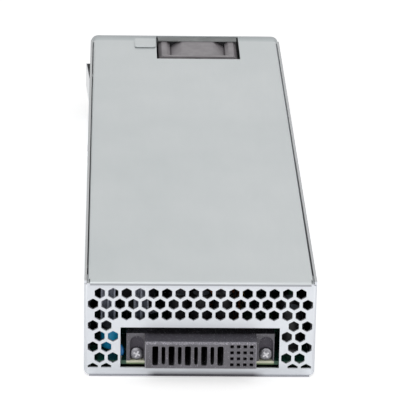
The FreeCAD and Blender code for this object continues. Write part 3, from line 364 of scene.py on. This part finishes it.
def filled_plastic(name):
    """Glass-filled moulding: flecked where fibres show, most of all in the painted light along the nose's
    upper front edge; painted shade on its level faces, upright sides, ways and ears' recesses, and a painted
    highlight on the ways' chamfers.
    """
    finish = Finish(name, roughness=0.5, specular=0.3)
    low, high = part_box("connector_housing")
    light = srgb(113, 111, 117)
    cloud = finish.noise(120.0, detail=5.0)
    fibres = finish.noise(1800.0, stretch=(1, 1, 0.5), detail=3.0)
    flecks = finish.noise(2600.0, detail=2.0)
    base = finish.mix(finish.remap(cloud, 0.3, 0.7), srgb(94, 92, 97), light)
    finish.colour(finish.mix(finish.remap(fibres, 0.62, 0.8, 0.0, 0.5), base, light))

    # Painted shade: darker level faces, darkest from the ears' front on, and darker upright sides
    level, upright_side = finish.square_to("Z", 0.7, 0.95), finish.square_to("X", 0.7, 0.95)
    under_panel = (finish.along("Y"), EAR_FRONT - 0.0006, EAR_FRONT)
    finish.stain(srgb(74, 72, 79), level)
    finish.stain(srgb(26, 25, 30), level, under_panel)
    finish.stain(srgb(62, 61, 66), upright_side)

    # Painted shade, near black, inside the ways: between the nose's end walls, behind its front and under its
    # top
    black, blend = srgb(14, 13, 16), 0.0004
    ways_left, ways_right, ways_top = low.x + 0.0080, high.x - 0.0080, high.z - 0.0004
    in_ways = ((finish.along("X"), ways_left, ways_left + blend),
               (finish.along("X"), ways_right, ways_right - blend),
               (finish.along("Y"), low.y + 0.0004, low.y + 0.0010))
    finish.stain(black, upright_side, *in_ways)
    finish.stain(black, level, *in_ways, (finish.along("Z"), ways_top, ways_top - blend))

    # Painted shade on the floors of the ears' recesses, a painted highlight on the ways' chamfers, and the
    # flecks
    frontal = finish.facing("Y")
    recess_floors = ((frontal, 0.7, 0.95), (finish.along("Y"), EAR_FRONT + 0.001, EAR_FRONT + 0.0015))
    chamfers = ((frontal, 0.3, 0.45), (frontal, 0.98, 0.9))
    finish.stain(srgb(84, 80, 89), *recess_floors)
    finish.stain(srgb(152, 150, 157), *chamfers)
    finish.stain(srgb(170, 167, 176), (flecks, 0.63, 0.70))

    # Painted light along the nose's upper front edge, flecked with paler fibres
    edge = ((finish.along("Z"), high.z - 0.0012, high.z - 0.0008),
            (finish.along("Y"), low.y + 0.0008, low.y + 0.0004))
    finish.stain(srgb(122, 120, 127), *edge)
    finish.stain(srgb(190, 187, 196), *edge, (flecks, 0.52, 0.64))
    finish.rough(finish.noise(200.0, detail=5.0), 0.45, 0.65)
    finish.bump(fibres, 0.00005, 0.5)
    return finish


def circuit_board(name, dark, light):
    """Green solder resist over tracks; bare pale laminate at the front between the connector's ends, with
    painted light on its front edge's upper part and on a strip of its top.
    """
    finish = Finish(name, roughness=0.3)
    tracks = finish.remap(finish.cells(260.0, stretch=(1, 0.35, 1)), 0.25, 0.4)
    weave = finish.noise(2500.0, stretch=(0.2, 0.2, 1))
    lit_laminate = finish.mix(finish.remap(weave, 0.3, 0.7), srgb(206, 208, 182), srgb(232, 232, 208))
    finish.colour(finish.mix(tracks, light, dark))
    board_edge = finish.square_to("Y")
    finish.stain(srgb(44, 84, 62), board_edge)

    connector_low, connector_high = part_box("connector_housing")
    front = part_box("main_board")[0].y
    blend = 0.0001
    by_connector = ((finish.along("X"), connector_low.x - blend, connector_low.x + blend),
                    (finish.along("X"), connector_high.x + blend, connector_high.x - blend))
    upper_edge = (finish.along("Z"), 0.0046, 0.0050)
    front_strip = (finish.along("Y"), front + 0.0024, front + 0.0020)
    finish.stain(srgb(104, 124, 88), board_edge, *by_connector)
    # Painted light: pale laminate on the edge's upper part and on a strip of the top, between the connector's
    # ends
    finish.stain(lit_laminate, board_edge, *by_connector, upper_edge)
    finish.stain(lit_laminate, finish.square_to("Z", 0.7, 0.9), front_strip, *by_connector)
    finish.rough(finish.noise(300.0), 0.22, 0.4)
    finish.bump(tracks, 0.00003, 0.6)
    return finish


def wound_copper(name):
    """Enamelled copper, red-brown, with small changes of tone."""
    finish = Finish(name, metallic=0.85, roughness=0.3)
    tone = finish.noise(300.0, detail=4.0)
    finish.colour(finish.mix(finish.remap(tone, 0.3, 0.7), srgb(150, 78, 40), srgb(196, 116, 66)))
    finish.rough(finish.noise(900.0), 0.22, 0.42)
    finish.bump(finish.noise(1200.0), 0.00003, 0.4)
    return finish


def clear_plastic(name):
    """Clear moulding with a faint haze."""
    finish = Finish(name, roughness=0.12)
    finish.set("Transmission Weight", 0.85)
    finish.set("IOR", 1.49)
    haze = finish.noise(400.0)
    finish.colour(finish.mix(finish.remap(haze, 0.3, 0.7), srgb(226, 238, 232), srgb(246, 250, 248)))
    finish.rough(haze, 0.06, 0.2)
    return finish


def toned(make, dark, light, **settings):
    """A maker that takes only a name, for a finish between two display colours."""
    return lambda name: make(name, srgb(*dark), srgb(*light), **settings)


FINISHES = {
    "case_steel": tray_steel,
    "cover_steel": cover_steel,
    "end_steel": end_steel,
    "spring_steel": toned(sheet_steel, (206, 208, 210), (226, 227, 229), roughness=0.34),
    "extruded_aluminium": toned(sheet_steel, (182, 187, 202), (206, 211, 224)),
    "plated_strap": toned(bright_metal, (186, 188, 190), (218, 219, 220), roughness=0.2),
    "screw_steel": toned(bright_metal, (170, 171, 174), (222, 222, 224), roughness=0.24, grain=1500.0),
    # Duller screw metal: the connector screws' heads, and painted shade in the crosses of the other screws
    "dull_screw": toned(bright_metal, (112, 111, 116), (148, 147, 152), roughness=0.42, grain=1500.0),
    # Pale matt finish for the connector screws' crosses: a painted highlight
    "pale_cross_highlight": toned(moulded, (226, 225, 230), (248, 247, 252), roughness=0.35),
    "bearing_bronze": toned(bright_metal, (128, 92, 56), (166, 124, 82), roughness=0.4),
    "pin_brass": toned(bright_metal, (176, 140, 84), (214, 182, 120)),
    # Near-black contacts: painted shade deep in the connector's ways
    "painted_shade_contact": toned(moulded, (12, 11, 11), (24, 22, 21), roughness=0.6, specular=0.1),
    "enamelled_copper": wound_copper,
    "fan_plastic": fan_plastic,
    "connector_plastic": filled_plastic,
    "clear_plastic": clear_plastic,
    "rotor_plastic": toned(moulded, (36, 36, 38), (54, 54, 57), roughness=0.42),
    "black_plastic": toned(moulded, (26, 26, 28), (44, 44, 47), roughness=0.4),
    "tab_plastic": toned(moulded, (24, 24, 26), (40, 40, 43), roughness=0.6, specular=0.2),
    "package_epoxy": toned(moulded, (28, 28, 30), (46, 46, 49), roughness=0.55),
    "dark_film": toned(moulded, (22, 22, 23), (36, 36, 37), roughness=0.35),
    "foam": toned(moulded, (134, 137, 137), (160, 163, 163), roughness=0.9, grain=2500.0, relief=0.00012,
                  specular=0.2),
    # Sleeve blue made brighter than its own colour: painted light, so that it shows in the shade inside the
    # case
    "blue_sleeve": toned(moulded, (22, 172, 250), (46, 200, 255), roughness=0.3, grain=900.0),
    "dipped_blue": toned(moulded, (22, 104, 172), (48, 140, 204), roughness=0.25, grain=900.0),
    "yellow_tape": toned(moulded, (202, 160, 48), (228, 190, 78), roughness=0.35),
    "ferrite": toned(moulded, (48, 49, 52), (74, 75, 78), roughness=0.6, grain=2200.0),
    "fuse_ceramic": toned(moulded, (214, 210, 200), (234, 231, 222), roughness=0.25),
    "board_green": toned(circuit_board, (16, 62, 50), (28, 88, 68)),
}

# Nodes whose finish isn't the usual one of their slot: the contacts, which take a near-black painted shade
OWN_FINISH = {"power_contacts": "painted_shade_contact", "signal_contacts": "painted_shade_contact"}

made_finishes = {}


def finish_of(kind):
    """The material of a finish, which is made once."""
    if kind not in made_finishes:
        made_finishes[kind] = FINISHES[kind](kind + "_finish").material
    return made_finishes[kind]


# Each solid takes the finish of its slot, or its own
for subpart in frame["record"]["subparts"]:
    node = subpart["node"]
    mesh = NODES[node].data
    mesh.materials.clear()
    mesh.materials.append(finish_of(OWN_FINISH.get(node, subpart["material_slot"])))


# ---------------------------------------------------------------- softened edges of the solids

EDGE_WIDTHS = {
    0.00012: ("chassis_tray", "connector_end_panel", "top_cover", "cover_clip", "outer_end_panel",
              "handle_lugs", "light_pipe", "status_board", "main_board", "control_board"),
    0.0002: ("connector_housing", "handle_bail", "fan_gasket", "bus_bars", "inlet_pins",
             "rectifiers", "power_transistors", "bridge_rectifier"),
    0.0003: ("fan_frame", "release_tab", "inlet_housing", "output_heatsink", "primary_heatsink",
             "rectifier_heatsinks"),
    0.0008: ("film_capacitors", "inrush_relay", "transformer_core", "transformer_winding"),
}


def soften(node, width):
    """Rounds a solid's hard edges a little, so that they catch the light."""
    weld = NODES[node].modifiers.new("join", "WELD")
    weld.merge_threshold = 2e-6
    bevel = NODES[node].modifiers.new("edges", "BEVEL")
    bevel.width = width
    bevel.segments = 2
    bevel.limit_method = "ANGLE"
    bevel.angle_limit = math.radians(40)
    bevel.harden_normals = True


for width, names in EDGE_WIDTHS.items():
    for name in names:
        soften(name, width)


# ---------------------------------------------------------------- mesh helpers

def piece(name, slots, body, *replaced, finishes=None):
    """An empty mesh object on a body, with one material for each slot, or for each finish where given."""
    mesh = bpy.data.meshes.new(name)
    for kind in finishes or slots:
        mesh.materials.append(finish_of(kind))
    made = bpy.data.objects.new(name, mesh)
    bpy.context.scene.collection.objects.link(made)
    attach(made, body)
    if replaced:
        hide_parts(*replaced)
    return made


def upright(axis):
    """Rotation that turns +Z to the axis."""
    return Vector((0, 0, 1)).rotation_difference(Vector(axis)).to_matrix().to_4x4()


def ring_points(radius, height, count):
    """Evenly spaced points around the Z axis."""
    angles = (2 * math.pi * k / count for k in range(count))
    return [(radius * math.cos(a), radius * math.sin(a), height) for a in angles]


def eased(value, width):
    """0 for a value up to 0 and 1 from the width on, eased between."""
    t = min(1.0, max(0.0, value / width))
    return t * t * (3 - 2 * t)


class Builder:
    """Collects shapes in one mesh; each call places its shape with a matrix."""

    MERGE_GAP = 1e-7
    SHARP_ANGLE = math.radians(50)

    def __init__(self):
        self.bm = bmesh.new()

    def face(self, corners, material=0, smooth=False):
        """A face over corners that the mesh has."""
        made = self.bm.faces.new(corners)
        made.material_index = material
        made.smooth = smooth
        return made

    def grid(self, rows, place, material=0):
        """Skins rings of points, and gives back their corners in the mesh."""
        made = [[self.bm.verts.new(place @ Vector(point)) for point in row] for row in rows]
        for lower, upper in zip(made, made[1:]):
            count = len(lower)
            for k in range(count):
                after = (k + 1) % count
                self.face([lower[k], lower[after], upper[after], upper[k]], material, True)
        return made

    def lathe(self, profile, place, segments, material=0):
        """Profile of (radius, height) turned about the local Z axis, closed at both ends."""
        rows = [ring_points(radius, height, segments) for radius, height in profile]
        made = self.grid(rows, place, material)
        self.face(list(reversed(made[0])), material)
        self.face(made[-1], material)

    def stamped_disc(self, radius, rings, segments, height, place, material=0, inset=None):
        """Disc over the local XY plane: height(x, y) shapes it, and inset(x, y) says where material 1 is."""
        rows = [[(x, y, height(x, y)) for x, y, _ in ring_points(radius * ring / rings, 0.0, segments)]
                for ring in range(rings, 0, -1)]
        first = len(self.bm.faces)
        last = self.grid(rows, place, material)[-1]
        middle = self.bm.verts.new(place @ Vector((0, 0, height(0, 0))))
        for k in range(segments):
            self.face((last[k], last[(k + 1) % segments], middle), material, True)
        if inset:
            self.bm.faces.ensure_lookup_table()
            back = place.inverted()
            for face in self.bm.faces[first:]:
                centre = back @ face.calc_center_median()
                if inset(centre.x, centre.y):
                    face.material_index = 1

    def into(self, made):
        """Joins corners that meet, turns faces outwards and fills the mesh, with its sharp edges marked."""
        bmesh.ops.remove_doubles(self.bm, verts=self.bm.verts, dist=self.MERGE_GAP)
        bmesh.ops.recalc_face_normals(self.bm, faces=self.bm.faces)
        self.bm.to_mesh(made.data)
        self.bm.free()
        made.data.set_sharp_from_angle(angle=self.SHARP_ANGLE)


# ---------------------------------------------------------------- screws

FAN_SHANK = 0.0015
BOARD_SHANK = 0.00125
RIDGE_PITCH = 0.0006


def screw(builder, seat, axis, radius, height, shank, length, fine=True, cross_depth=0.4, turned=20):
    """Domed head with a stamped cross, over a ridged shank; the cross's depth is a share of the height."""
    place = Matrix.Translation(seat) @ upright(axis) @ Matrix.Rotation(math.radians(turned), 4, "Z")
    arm, half_width = radius * 0.60, radius * 0.17
    side_slope, end_slope = radius * 0.09, radius * 0.15
    shallower, crown, root = 0.45, 0.25, 0.86
    cross_edge = 0.15

    def crossed(x, y):
        return max(eased(half_width - abs(u), side_slope) * eased(arm - abs(v), end_slope) *
                   (1 - shallower * abs(v) / arm) for u, v in ((x, y), (y, x)))

    def surface(x, y):
        dome = height - crown * height * (math.hypot(x, y) / radius) ** 4
        return dome - cross_depth * height * crossed(x, y)

    rings, segments, sides = (22, 72, 48) if fine else (10, 32, 32)
    builder.stamped_disc(radius, rings, segments, surface, place,
                         inset=lambda x, y: crossed(x, y) > cross_edge)
    profile = [(radius, height * (1 - crown)), (radius, 0.0), (shank, 0.0)]
    turns = max(3, int(length / RIDGE_PITCH))
    for k in range(turns):
        profile += [(shank * root, -length * (k + 0.5) / turns), (shank, -length * (k + 1.0) / turns)]
    builder.lathe(profile, place, sides)


def connector_screw_set():
    """The two screws in the connector's ears, with shallow crosses in a pale matt finish: a painted
    highlight.
    """
    low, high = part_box("connector_screws")
    radius, height = (high.z - low.z) / 2, 0.0019
    builder = Builder()
    for x, turned in ((low.x + radius, 65), (high.x - radius, 35)):
        seat = Vector((x, low.y + height, (low.z + high.z) / 2))
        screw(builder, seat, (0, -1, 0), radius, height, BOARD_SHANK, high.y - seat.y,
              cross_depth=0.1, turned=turned)
    builder.into(piece("connector_screw_set", ["screw_steel"], "case", "connector_screws",
                       finishes=["dull_screw", "pale_cross_highlight"]))


def fan_screw_set():
    """The fan's four screws; the upper two sit on the handle's lugs, a foot's thickness further out."""
    low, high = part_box("fan_screws")
    radius, height, foot = 0.00265, 0.0014, 0.001
    builder = Builder()
    for x in (low.x + radius, high.x - radius):
        for z, seat_y in ((low.z + radius, high.y - foot - height), (high.z - radius, high.y - height)):
            screw(builder, Vector((x, seat_y, z)), (0, 1, 0), radius, height, FAN_SHANK, seat_y - low.y)
    # The crosses take the duller screw finish: painted shade in the recess
    builder.into(piece("fan_screw_set", ["screw_steel"], "case", "fan_screws",
                       finishes=["screw_steel", "dull_screw"]))


def board_screw_set():
    """The board's four screws, hidden inside and so with fewer faces."""
    low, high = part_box("board_screws")
    radius, height = 0.00285, 0.0018
    builder = Builder()
    for x in (low.x + radius, high.x - radius):
        for y in (low.y + radius, high.y - radius):
            seat = Vector((x, y, high.z - height))
            screw(builder, seat, (0, 0, 1), radius, height, BOARD_SHANK, seat.z - low.z, fine=False)
    # The crosses take the duller screw finish: painted shade in the recess
    builder.into(piece("board_screw_set", ["screw_steel"], "case", "board_screws",
                       finishes=["screw_steel", "dull_screw"]))


# ---------------------------------------------------------------- capacitors

def vented_can(builder, base, axis, radius, height, arms, side_material=0):
    """Sleeved can: a rolled groove near its base, a turned-in rim, and a metal top scored with arms."""
    sides, rings = 64, 14
    place = Matrix.Translation(base) @ upright(axis)
    rim = min(0.0006, radius * 0.1)
    groove = min(0.002, height * 0.15)
    profile = [(radius - rim, 0.0), (radius, rim * 0.6), (radius, groove), (radius - rim, groove + rim),
               (radius, groove + 2 * rim), (radius, height - rim), (radius - 0.3 * rim, height - 0.3 * rim),
               (radius - rim, height), (radius - 1.6 * rim, height), (radius - 1.7 * rim, height - rim * 0.6)]
    builder.lathe(profile, place, sides, side_material)
    inner, reach = radius - 1.65 * rim, 0.8
    score_depth, score_half_width, score_slope, score_end = 0.00018, 0.00016, 0.0001, 0.0003

    def top(x, y):
        scored = 0.0
        for k in range(arms):
            angle = 2 * math.pi * (k + 0.25) / arms
            along = x * math.cos(angle) + y * math.sin(angle)
            aside = abs(-x * math.sin(angle) + y * math.cos(angle))
            if along > 0:
                scored = max(scored, eased(score_half_width - aside, score_slope) *
                             eased(inner * reach - along, score_end))
        return height - rim * 0.35 - score_depth * scored

    builder.stamped_disc(inner, rings, sides, top, place, material=1)


def blue_capacitor():
    """Sleeved can with a bare dark top, on a dark bung."""
    low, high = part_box("blue_capacitors")
    room, aside = 0.0005, 0.0004
    radius = (high.x - low.x) / 2 - room
    base = Vector(((low.x + high.x) / 2 - aside, (low.y + high.y) / 2, low.z))
    tall = high.z - low.z
    skin, overlap, bare, bung = 0.0004, 0.0001, 0.0016, 0.0005
    fold, fold_height = 0.0002, 0.0003
    can = radius - skin
    builder = Builder()
    vented_can(builder, base, (0, 0, 1), can, tall, arms=3, side_material=1)
    sleeve = [(can - overlap, bung), (radius - fold, bung), (radius, bung + fold_height),
              (radius, tall - bare), (radius - fold, tall - bare + fold_height),
              (can - overlap, tall - bare + fold_height)]
    builder.lathe(sleeve, Matrix.Translation(base), 64)
    builder.into(piece("blue_capacitor", ["blue_sleeve", "black_plastic"], "case", "blue_capacitors"))


def disc_capacitor():
    """Blue dipped disc that stands beside the opening's left end, on two tinned legs."""
    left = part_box("connector_housing")[0].x
    board_low, board_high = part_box("main_board")
    radius, thick = 0.0024, 0.0011
    aside, inwards, raised = 0.00245, 0.0034, 0.0030
    centre = Vector((left - aside, board_low.y + inwards, board_high.z + raised))
    lens = [(0.0003, -thick), (radius * 0.6, -thick * 0.95), (radius * 0.88, -thick * 0.7),
            (radius, -thick * 0.15), (radius, thick * 0.15), (radius * 0.88, thick * 0.7),
            (radius * 0.6, thick * 0.95), (0.0003, thick)]
    across, leg_apart = Vector((0.9, 0.43, 0)), 0.0012
    leg = [(0.00022, -0.0003), (0.00025, 0.0), (0.00025, 0.0012), (0.0002, 0.0016)]
    builder = Builder()
    builder.lathe(lens, Matrix.Translation(centre) @ upright(across), 48)
    for side in (-1, 1):
        foot = Vector((centre.x - side * across.y * leg_apart, centre.y + side * across.x * leg_apart,
                       board_high.z))
        builder.lathe(leg, Matrix.Translation(foot), 12, material=1)
    builder.into(piece("disc_capacitor", ["blue_sleeve", "screw_steel"], "case",
                       finishes=["dipped_blue", "screw_steel"]))


def output_capacitor_set():
    """Five cans: two in a row behind the end panel's right side, three across the board."""
    low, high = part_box("output_capacitors")
    radius, row_pitch, across_pitch = 0.004, 0.0095, 0.009
    places = [(high.x - radius, low.y + radius + row_pitch * k) for k in range(2)]
    places += [(low.x + radius + across_pitch * k, high.y - radius) for k in range(3)]
    builder = Builder()
    for x, y in places:
        vented_can(builder, Vector((x, y, low.z)), (0, 0, 1), radius, high.z - low.z, arms=2)
    builder.into(piece("output_capacitor_set", ["black_plastic", "extruded_aluminium"], "case",
                       "output_capacitors"))


def bulk_capacitor_set():
    """Two large cans that lie along the board, tops towards the connector."""
    low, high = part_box("bulk_capacitors")
    radius = (high.z - low.z) / 2
    builder = Builder()
    for x in (low.x + radius, high.x - radius):
        base = Vector((x, high.y, (low.z + high.z) / 2))
        vented_can(builder, base, (0, -1, 0), radius, high.y - low.y, arms=3)
    builder.into(piece("bulk_capacitor_set", ["black_plastic", "extruded_aluminium"], "case",
                       "bulk_capacitors"))


# ---------------------------------------------------------------- chokes

def choke_ring(name, core, place, inner, outer, height):
    """Ring with bevelled edges."""
    edge, sides = 0.0008, 64
    profile = [(inner, edge), (inner + edge, 0.0), (outer - edge, 0.0), (outer, edge),
               (outer, height - edge), (outer - edge, height), (inner + edge, height), (inner, height - edge)]
    ring = Builder()
    ring.grid([ring_points(radius, level, sides) for radius, level in profile + profile[:1]], place)
    ring.into(piece(name + "_ring", ["ferrite"], "case", core))


def choke_coil(name, winding, place, inner, outer, height, wire, turns, gap):
    """Turns of round wire around the ring's section, over all but a gap in degrees."""
    slack = 0.00005
    clear = wire / 2 + slack
    left, right = inner - clear, outer + clear
    bottom, top = -clear, height + clear
    bend, bend_steps, wire_sides = 0.0011, 4, 8
    corners = (((right - bend, top - bend), 0), ((left + bend, top - bend), 90),
               ((left + bend, bottom + bend), 180), ((right - bend, bottom + bend), 270))
    path = []
    for (x, z), start in corners:
        for part in range(bend_steps + 1):
            a = math.radians(start + 90 / bend_steps * part)
            path.append((Vector((x + bend * math.cos(a), 0, z + bend * math.sin(a))),
                         Vector((math.cos(a), 0, math.sin(a)))))
    section = ring_points(wire / 2, 0.0, wire_sides)
    rows = [[point + outward * out + Vector((0, aside, 0)) for out, aside, _ in section]
            for point, outward in path + path[:1]]
    coil = Builder()
    for k in range(turns):
        angle = math.radians(gap / 2 + (360 - gap) * k / (turns - 1))
        coil.grid(rows, place @ Matrix.Rotation(angle, 4, "Z"))
    coil.into(piece(name + "_coil", ["enamelled_copper"], "case", winding))


def choke(name, inner, wire, turns, gap):
    """Coated ring core with evenly spaced turns of round wire through it."""
    core, winding = name + "_core", name + "_winding"
    low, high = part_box(core)
    centre = (low + high) / 2
    place = Matrix.Translation(Vector((centre.x, centre.y, low.z)))
    outer, height = (high.x - low.x) / 2, high.z - low.z
    choke_ring(name, core, place, inner, outer, height)
    choke_coil(name, winding, place, inner, outer, height, wire, turns, gap)


# ---------------------------------------------------------------- fan rotor

def twisted_blade(builder, turn, hub, tip):
    """Two skins over a grid of points, which sweep forward and thin out towards the tip, and a rim."""
    across, along = 9, 10
    sunk, clear = 0.0004, 0.0001
    lead_degrees, sweep, wrap = 9.0, 1.6, math.radians(42.0)
    foot, rise, bulge = 0.0031, 0.0122, 0.0009
    root_thick, thinner = 0.0011, 0.0004
    nose, span = 0.08, 0.9
    points = {}
    for side in (-1, 1):
        for i in range(across):
            share = i / (across - 1)
            radius = hub - sunk + (tip - clear - hub + sunk) * share
            start = math.radians(lead_degrees * share ** sweep)
            for j in range(along):
                chord = j / (along - 1)
                angle = start + wrap * chord
                thick = (root_thick - thinner * share) * math.sin(math.pi * (nose + span * chord)) ** 0.5
                height = foot + rise * chord + bulge * math.sin(math.pi * chord) + side * thick / 2
                points[side, i, j] = builder.bm.verts.new(
                    turn @ Vector((radius * math.cos(angle), radius * math.sin(angle), height)))
    for side in (-1, 1):
        for i in range(across - 1):
            for j in range(along - 1):
                builder.face([points[side, i, j], points[side, i + 1, j], points[side, i + 1, j + 1],
                              points[side, i, j + 1]], smooth=True)
    rim = ([(i, 0) for i in range(across)] + [(across - 1, j) for j in range(1, along)] +
           [(i, along - 1) for i in range(across - 2, -1, -1)] + [(0, j) for j in range(along - 2, 0, -1)])
    for (i, j), (m, n) in zip(rim, rim[1:] + rim[:1]):
        builder.face([points[-1, i, j], points[-1, m, n], points[1, m, n], points[1, i, j]])


def rotor_wheel():
    """Hub cup with a rounded nose and seven thin twisted blades."""
    low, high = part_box("fan_rotor")
    centre = (low + high) / 2
    tip, depth = (high.x - low.x) / 2, high.y - low.y
    hub, wall, web, edge = 0.0086, 0.0014, 0.0016, 0.0002
    bore, boss, boss_end = 0.0016, 0.0030, 0.0055
    blades = 7
    place = Matrix.Translation(Vector((centre.x, low.y, centre.z))) @ upright((0, 1, 0))
    rounded_nose = [(hub - 0.0016, 0.0), (hub - 0.0007, 0.0002), (hub - 0.0002, 0.0007), (hub, 0.0016)]
    cup = [(bore, edge), *rounded_nose, (hub, depth - edge), (hub - edge, depth), (hub - wall, depth),
           (hub - wall, web), (boss, web), (boss, boss_end), (bore, boss_end)]
    builder = Builder()
    builder.lathe(cup, place, 64)
    for blade in range(blades):
        twisted_blade(builder, place @ Matrix.Rotation(2 * math.pi * blade / blades, 4, "Z"), hub, tip)
    builder.into(piece("rotor_wheel", ["rotor_plastic"], "rotor", "fan_rotor"))


connector_screw_set()
fan_screw_set()
board_screw_set()
blue_capacitor()
disc_capacitor()
output_capacitor_set()
bulk_capacitor_set()
choke("output_choke", inner=0.0075, wire=0.0015, turns=16, gap=50)
choke("boost_choke", inner=0.0090, wire=0.0016, turns=20, gap=30)
choke("line_choke", inner=0.0075, wire=0.0014, turns=16, gap=40)
rotor_wheel()


# ---------------------------------------------------------------- stage, lamps, camera

def looking(tree):
    """1 where the camera looks, also by way of metal or clear plastic; 0 for the light on the object."""
    path = tree.nodes.new("ShaderNodeLightPath")
    seen = path.outputs["Is Camera Ray"]
    for kind in ("Is Glossy Ray", "Is Transmission Ray"):
        either = tree.nodes.new("ShaderNodeMath")
        either.operation = "MAXIMUM"
        tree.links.new(seen, either.inputs[0])
        tree.links.new(path.outputs[kind], either.inputs[1])
        seen = either.outputs[0]
    return seen


def stage_floor():
    """Pale floor that the background runs into, a little lifted for the camera, with its shadow."""
    mesh = bpy.data.meshes.new("floor")
    reach, gap = 6.0, 0.0002
    level = CAD_BOX[0].z - gap
    mesh.from_pydata([(-reach, -reach, level), (reach, -reach, level), (reach, reach, level),
                      (-reach, reach, level)], [], [(0, 1, 2, 3)])
    floor = bpy.data.objects.new("floor", mesh)
    bpy.context.scene.collection.objects.link(floor)
    material = bpy.data.materials.new("floor_paper")
    material.use_nodes = True
    tree = material.node_tree
    shader = tree.nodes["Principled BSDF"]
    shader.inputs["Base Color"].default_value = (0.86, 0.86, 0.86, 1.0)
    shader.inputs["Roughness"].default_value = 0.9
    shader.inputs["Specular IOR Level"].default_value = 0.0
    shader.inputs["Emission Color"].default_value = (1.0, 1.0, 1.0, 1.0)
    lift = tree.nodes.new("ShaderNodeMath")
    lift.operation = "MULTIPLY"
    lift.inputs[1].default_value = FLOOR_LIFT
    tree.links.new(looking(tree), lift.inputs[0])
    tree.links.new(lift.outputs[0], shader.inputs["Emission Strength"])
    mesh.materials.append(material)


def studio_world():
    """Even pale surroundings: white where the camera, metal or clear plastic looks into them."""
    world = bpy.data.worlds.new("studio")
    bpy.context.scene.world = world
    world.use_nodes = True
    tree = world.node_tree
    background = tree.nodes["Background"]
    background.inputs["Color"].default_value = (1.0, 1.0, 1.0, 1.0)
    level = tree.nodes.new("ShaderNodeMapRange")
    level.inputs["To Min"].default_value = WORLD_LIGHT
    level.inputs["To Max"].default_value = 1.0
    tree.links.new(looking(tree), level.inputs["Value"])
    tree.links.new(level.outputs["Result"], background.inputs["Strength"])


def softbox(name, location, target, wide, tall, power):
    """Lamp turned towards its target, so broad that metal mirrors it no brighter than the backdrop."""
    lamp = bpy.data.lights.new(name, "AREA")
    lamp.shape = "RECTANGLE"
    lamp.size = wide
    lamp.size_y = tall
    lamp.energy = power
    holder = bpy.data.objects.new(name, lamp)
    holder.location = location
    holder.rotation_euler = (Vector(target) - Vector(location)).to_track_quat("-Z", "Y").to_euler()
    bpy.context.scene.collection.objects.link(holder)


def camera():
    """Long lens, looking down at the connector end with a slight turn and roll."""
    heading, dip, roll = (math.radians(a) for a in (CAMERA_HEADING, CAMERA_DIP, CAMERA_ROLL))
    forward = Vector((math.sin(heading) * math.cos(dip), math.cos(heading) * math.cos(dip), -math.sin(dip)))
    level_right = Vector((math.cos(heading), -math.sin(heading), 0.0))
    level_up = level_right.cross(forward)
    right = level_right * math.cos(roll) + level_up * math.sin(roll)
    up = right.cross(forward)
    data = bpy.data.cameras.new("camera")
    data.lens = CAMERA_LENS
    data.sensor_width = SENSOR
    data.clip_start = 0.05
    data.clip_end = 50.0
    holder = bpy.data.objects.new("camera", data)
    bpy.context.scene.collection.objects.link(holder)
    basis = Matrix((right, up, -forward)).transposed().to_4x4()
    holder.matrix_world = Matrix.Translation(CAMERA_AT) @ basis
    bpy.context.scene.camera = holder


stage_floor()
studio_world()
softbox("front_softbox", (-0.4, -2.2, 1.05), (0.0, -0.1, 0.02), wide=6.6, tall=2.4, power=48.5)
softbox("top_softbox", (0.3, 0.3, 1.6), (0.0, 0.0, 0.0), wide=2.0, tall=2.0, power=4.8)
camera()
bpy.context.scene.view_settings.view_transform = "Standard"
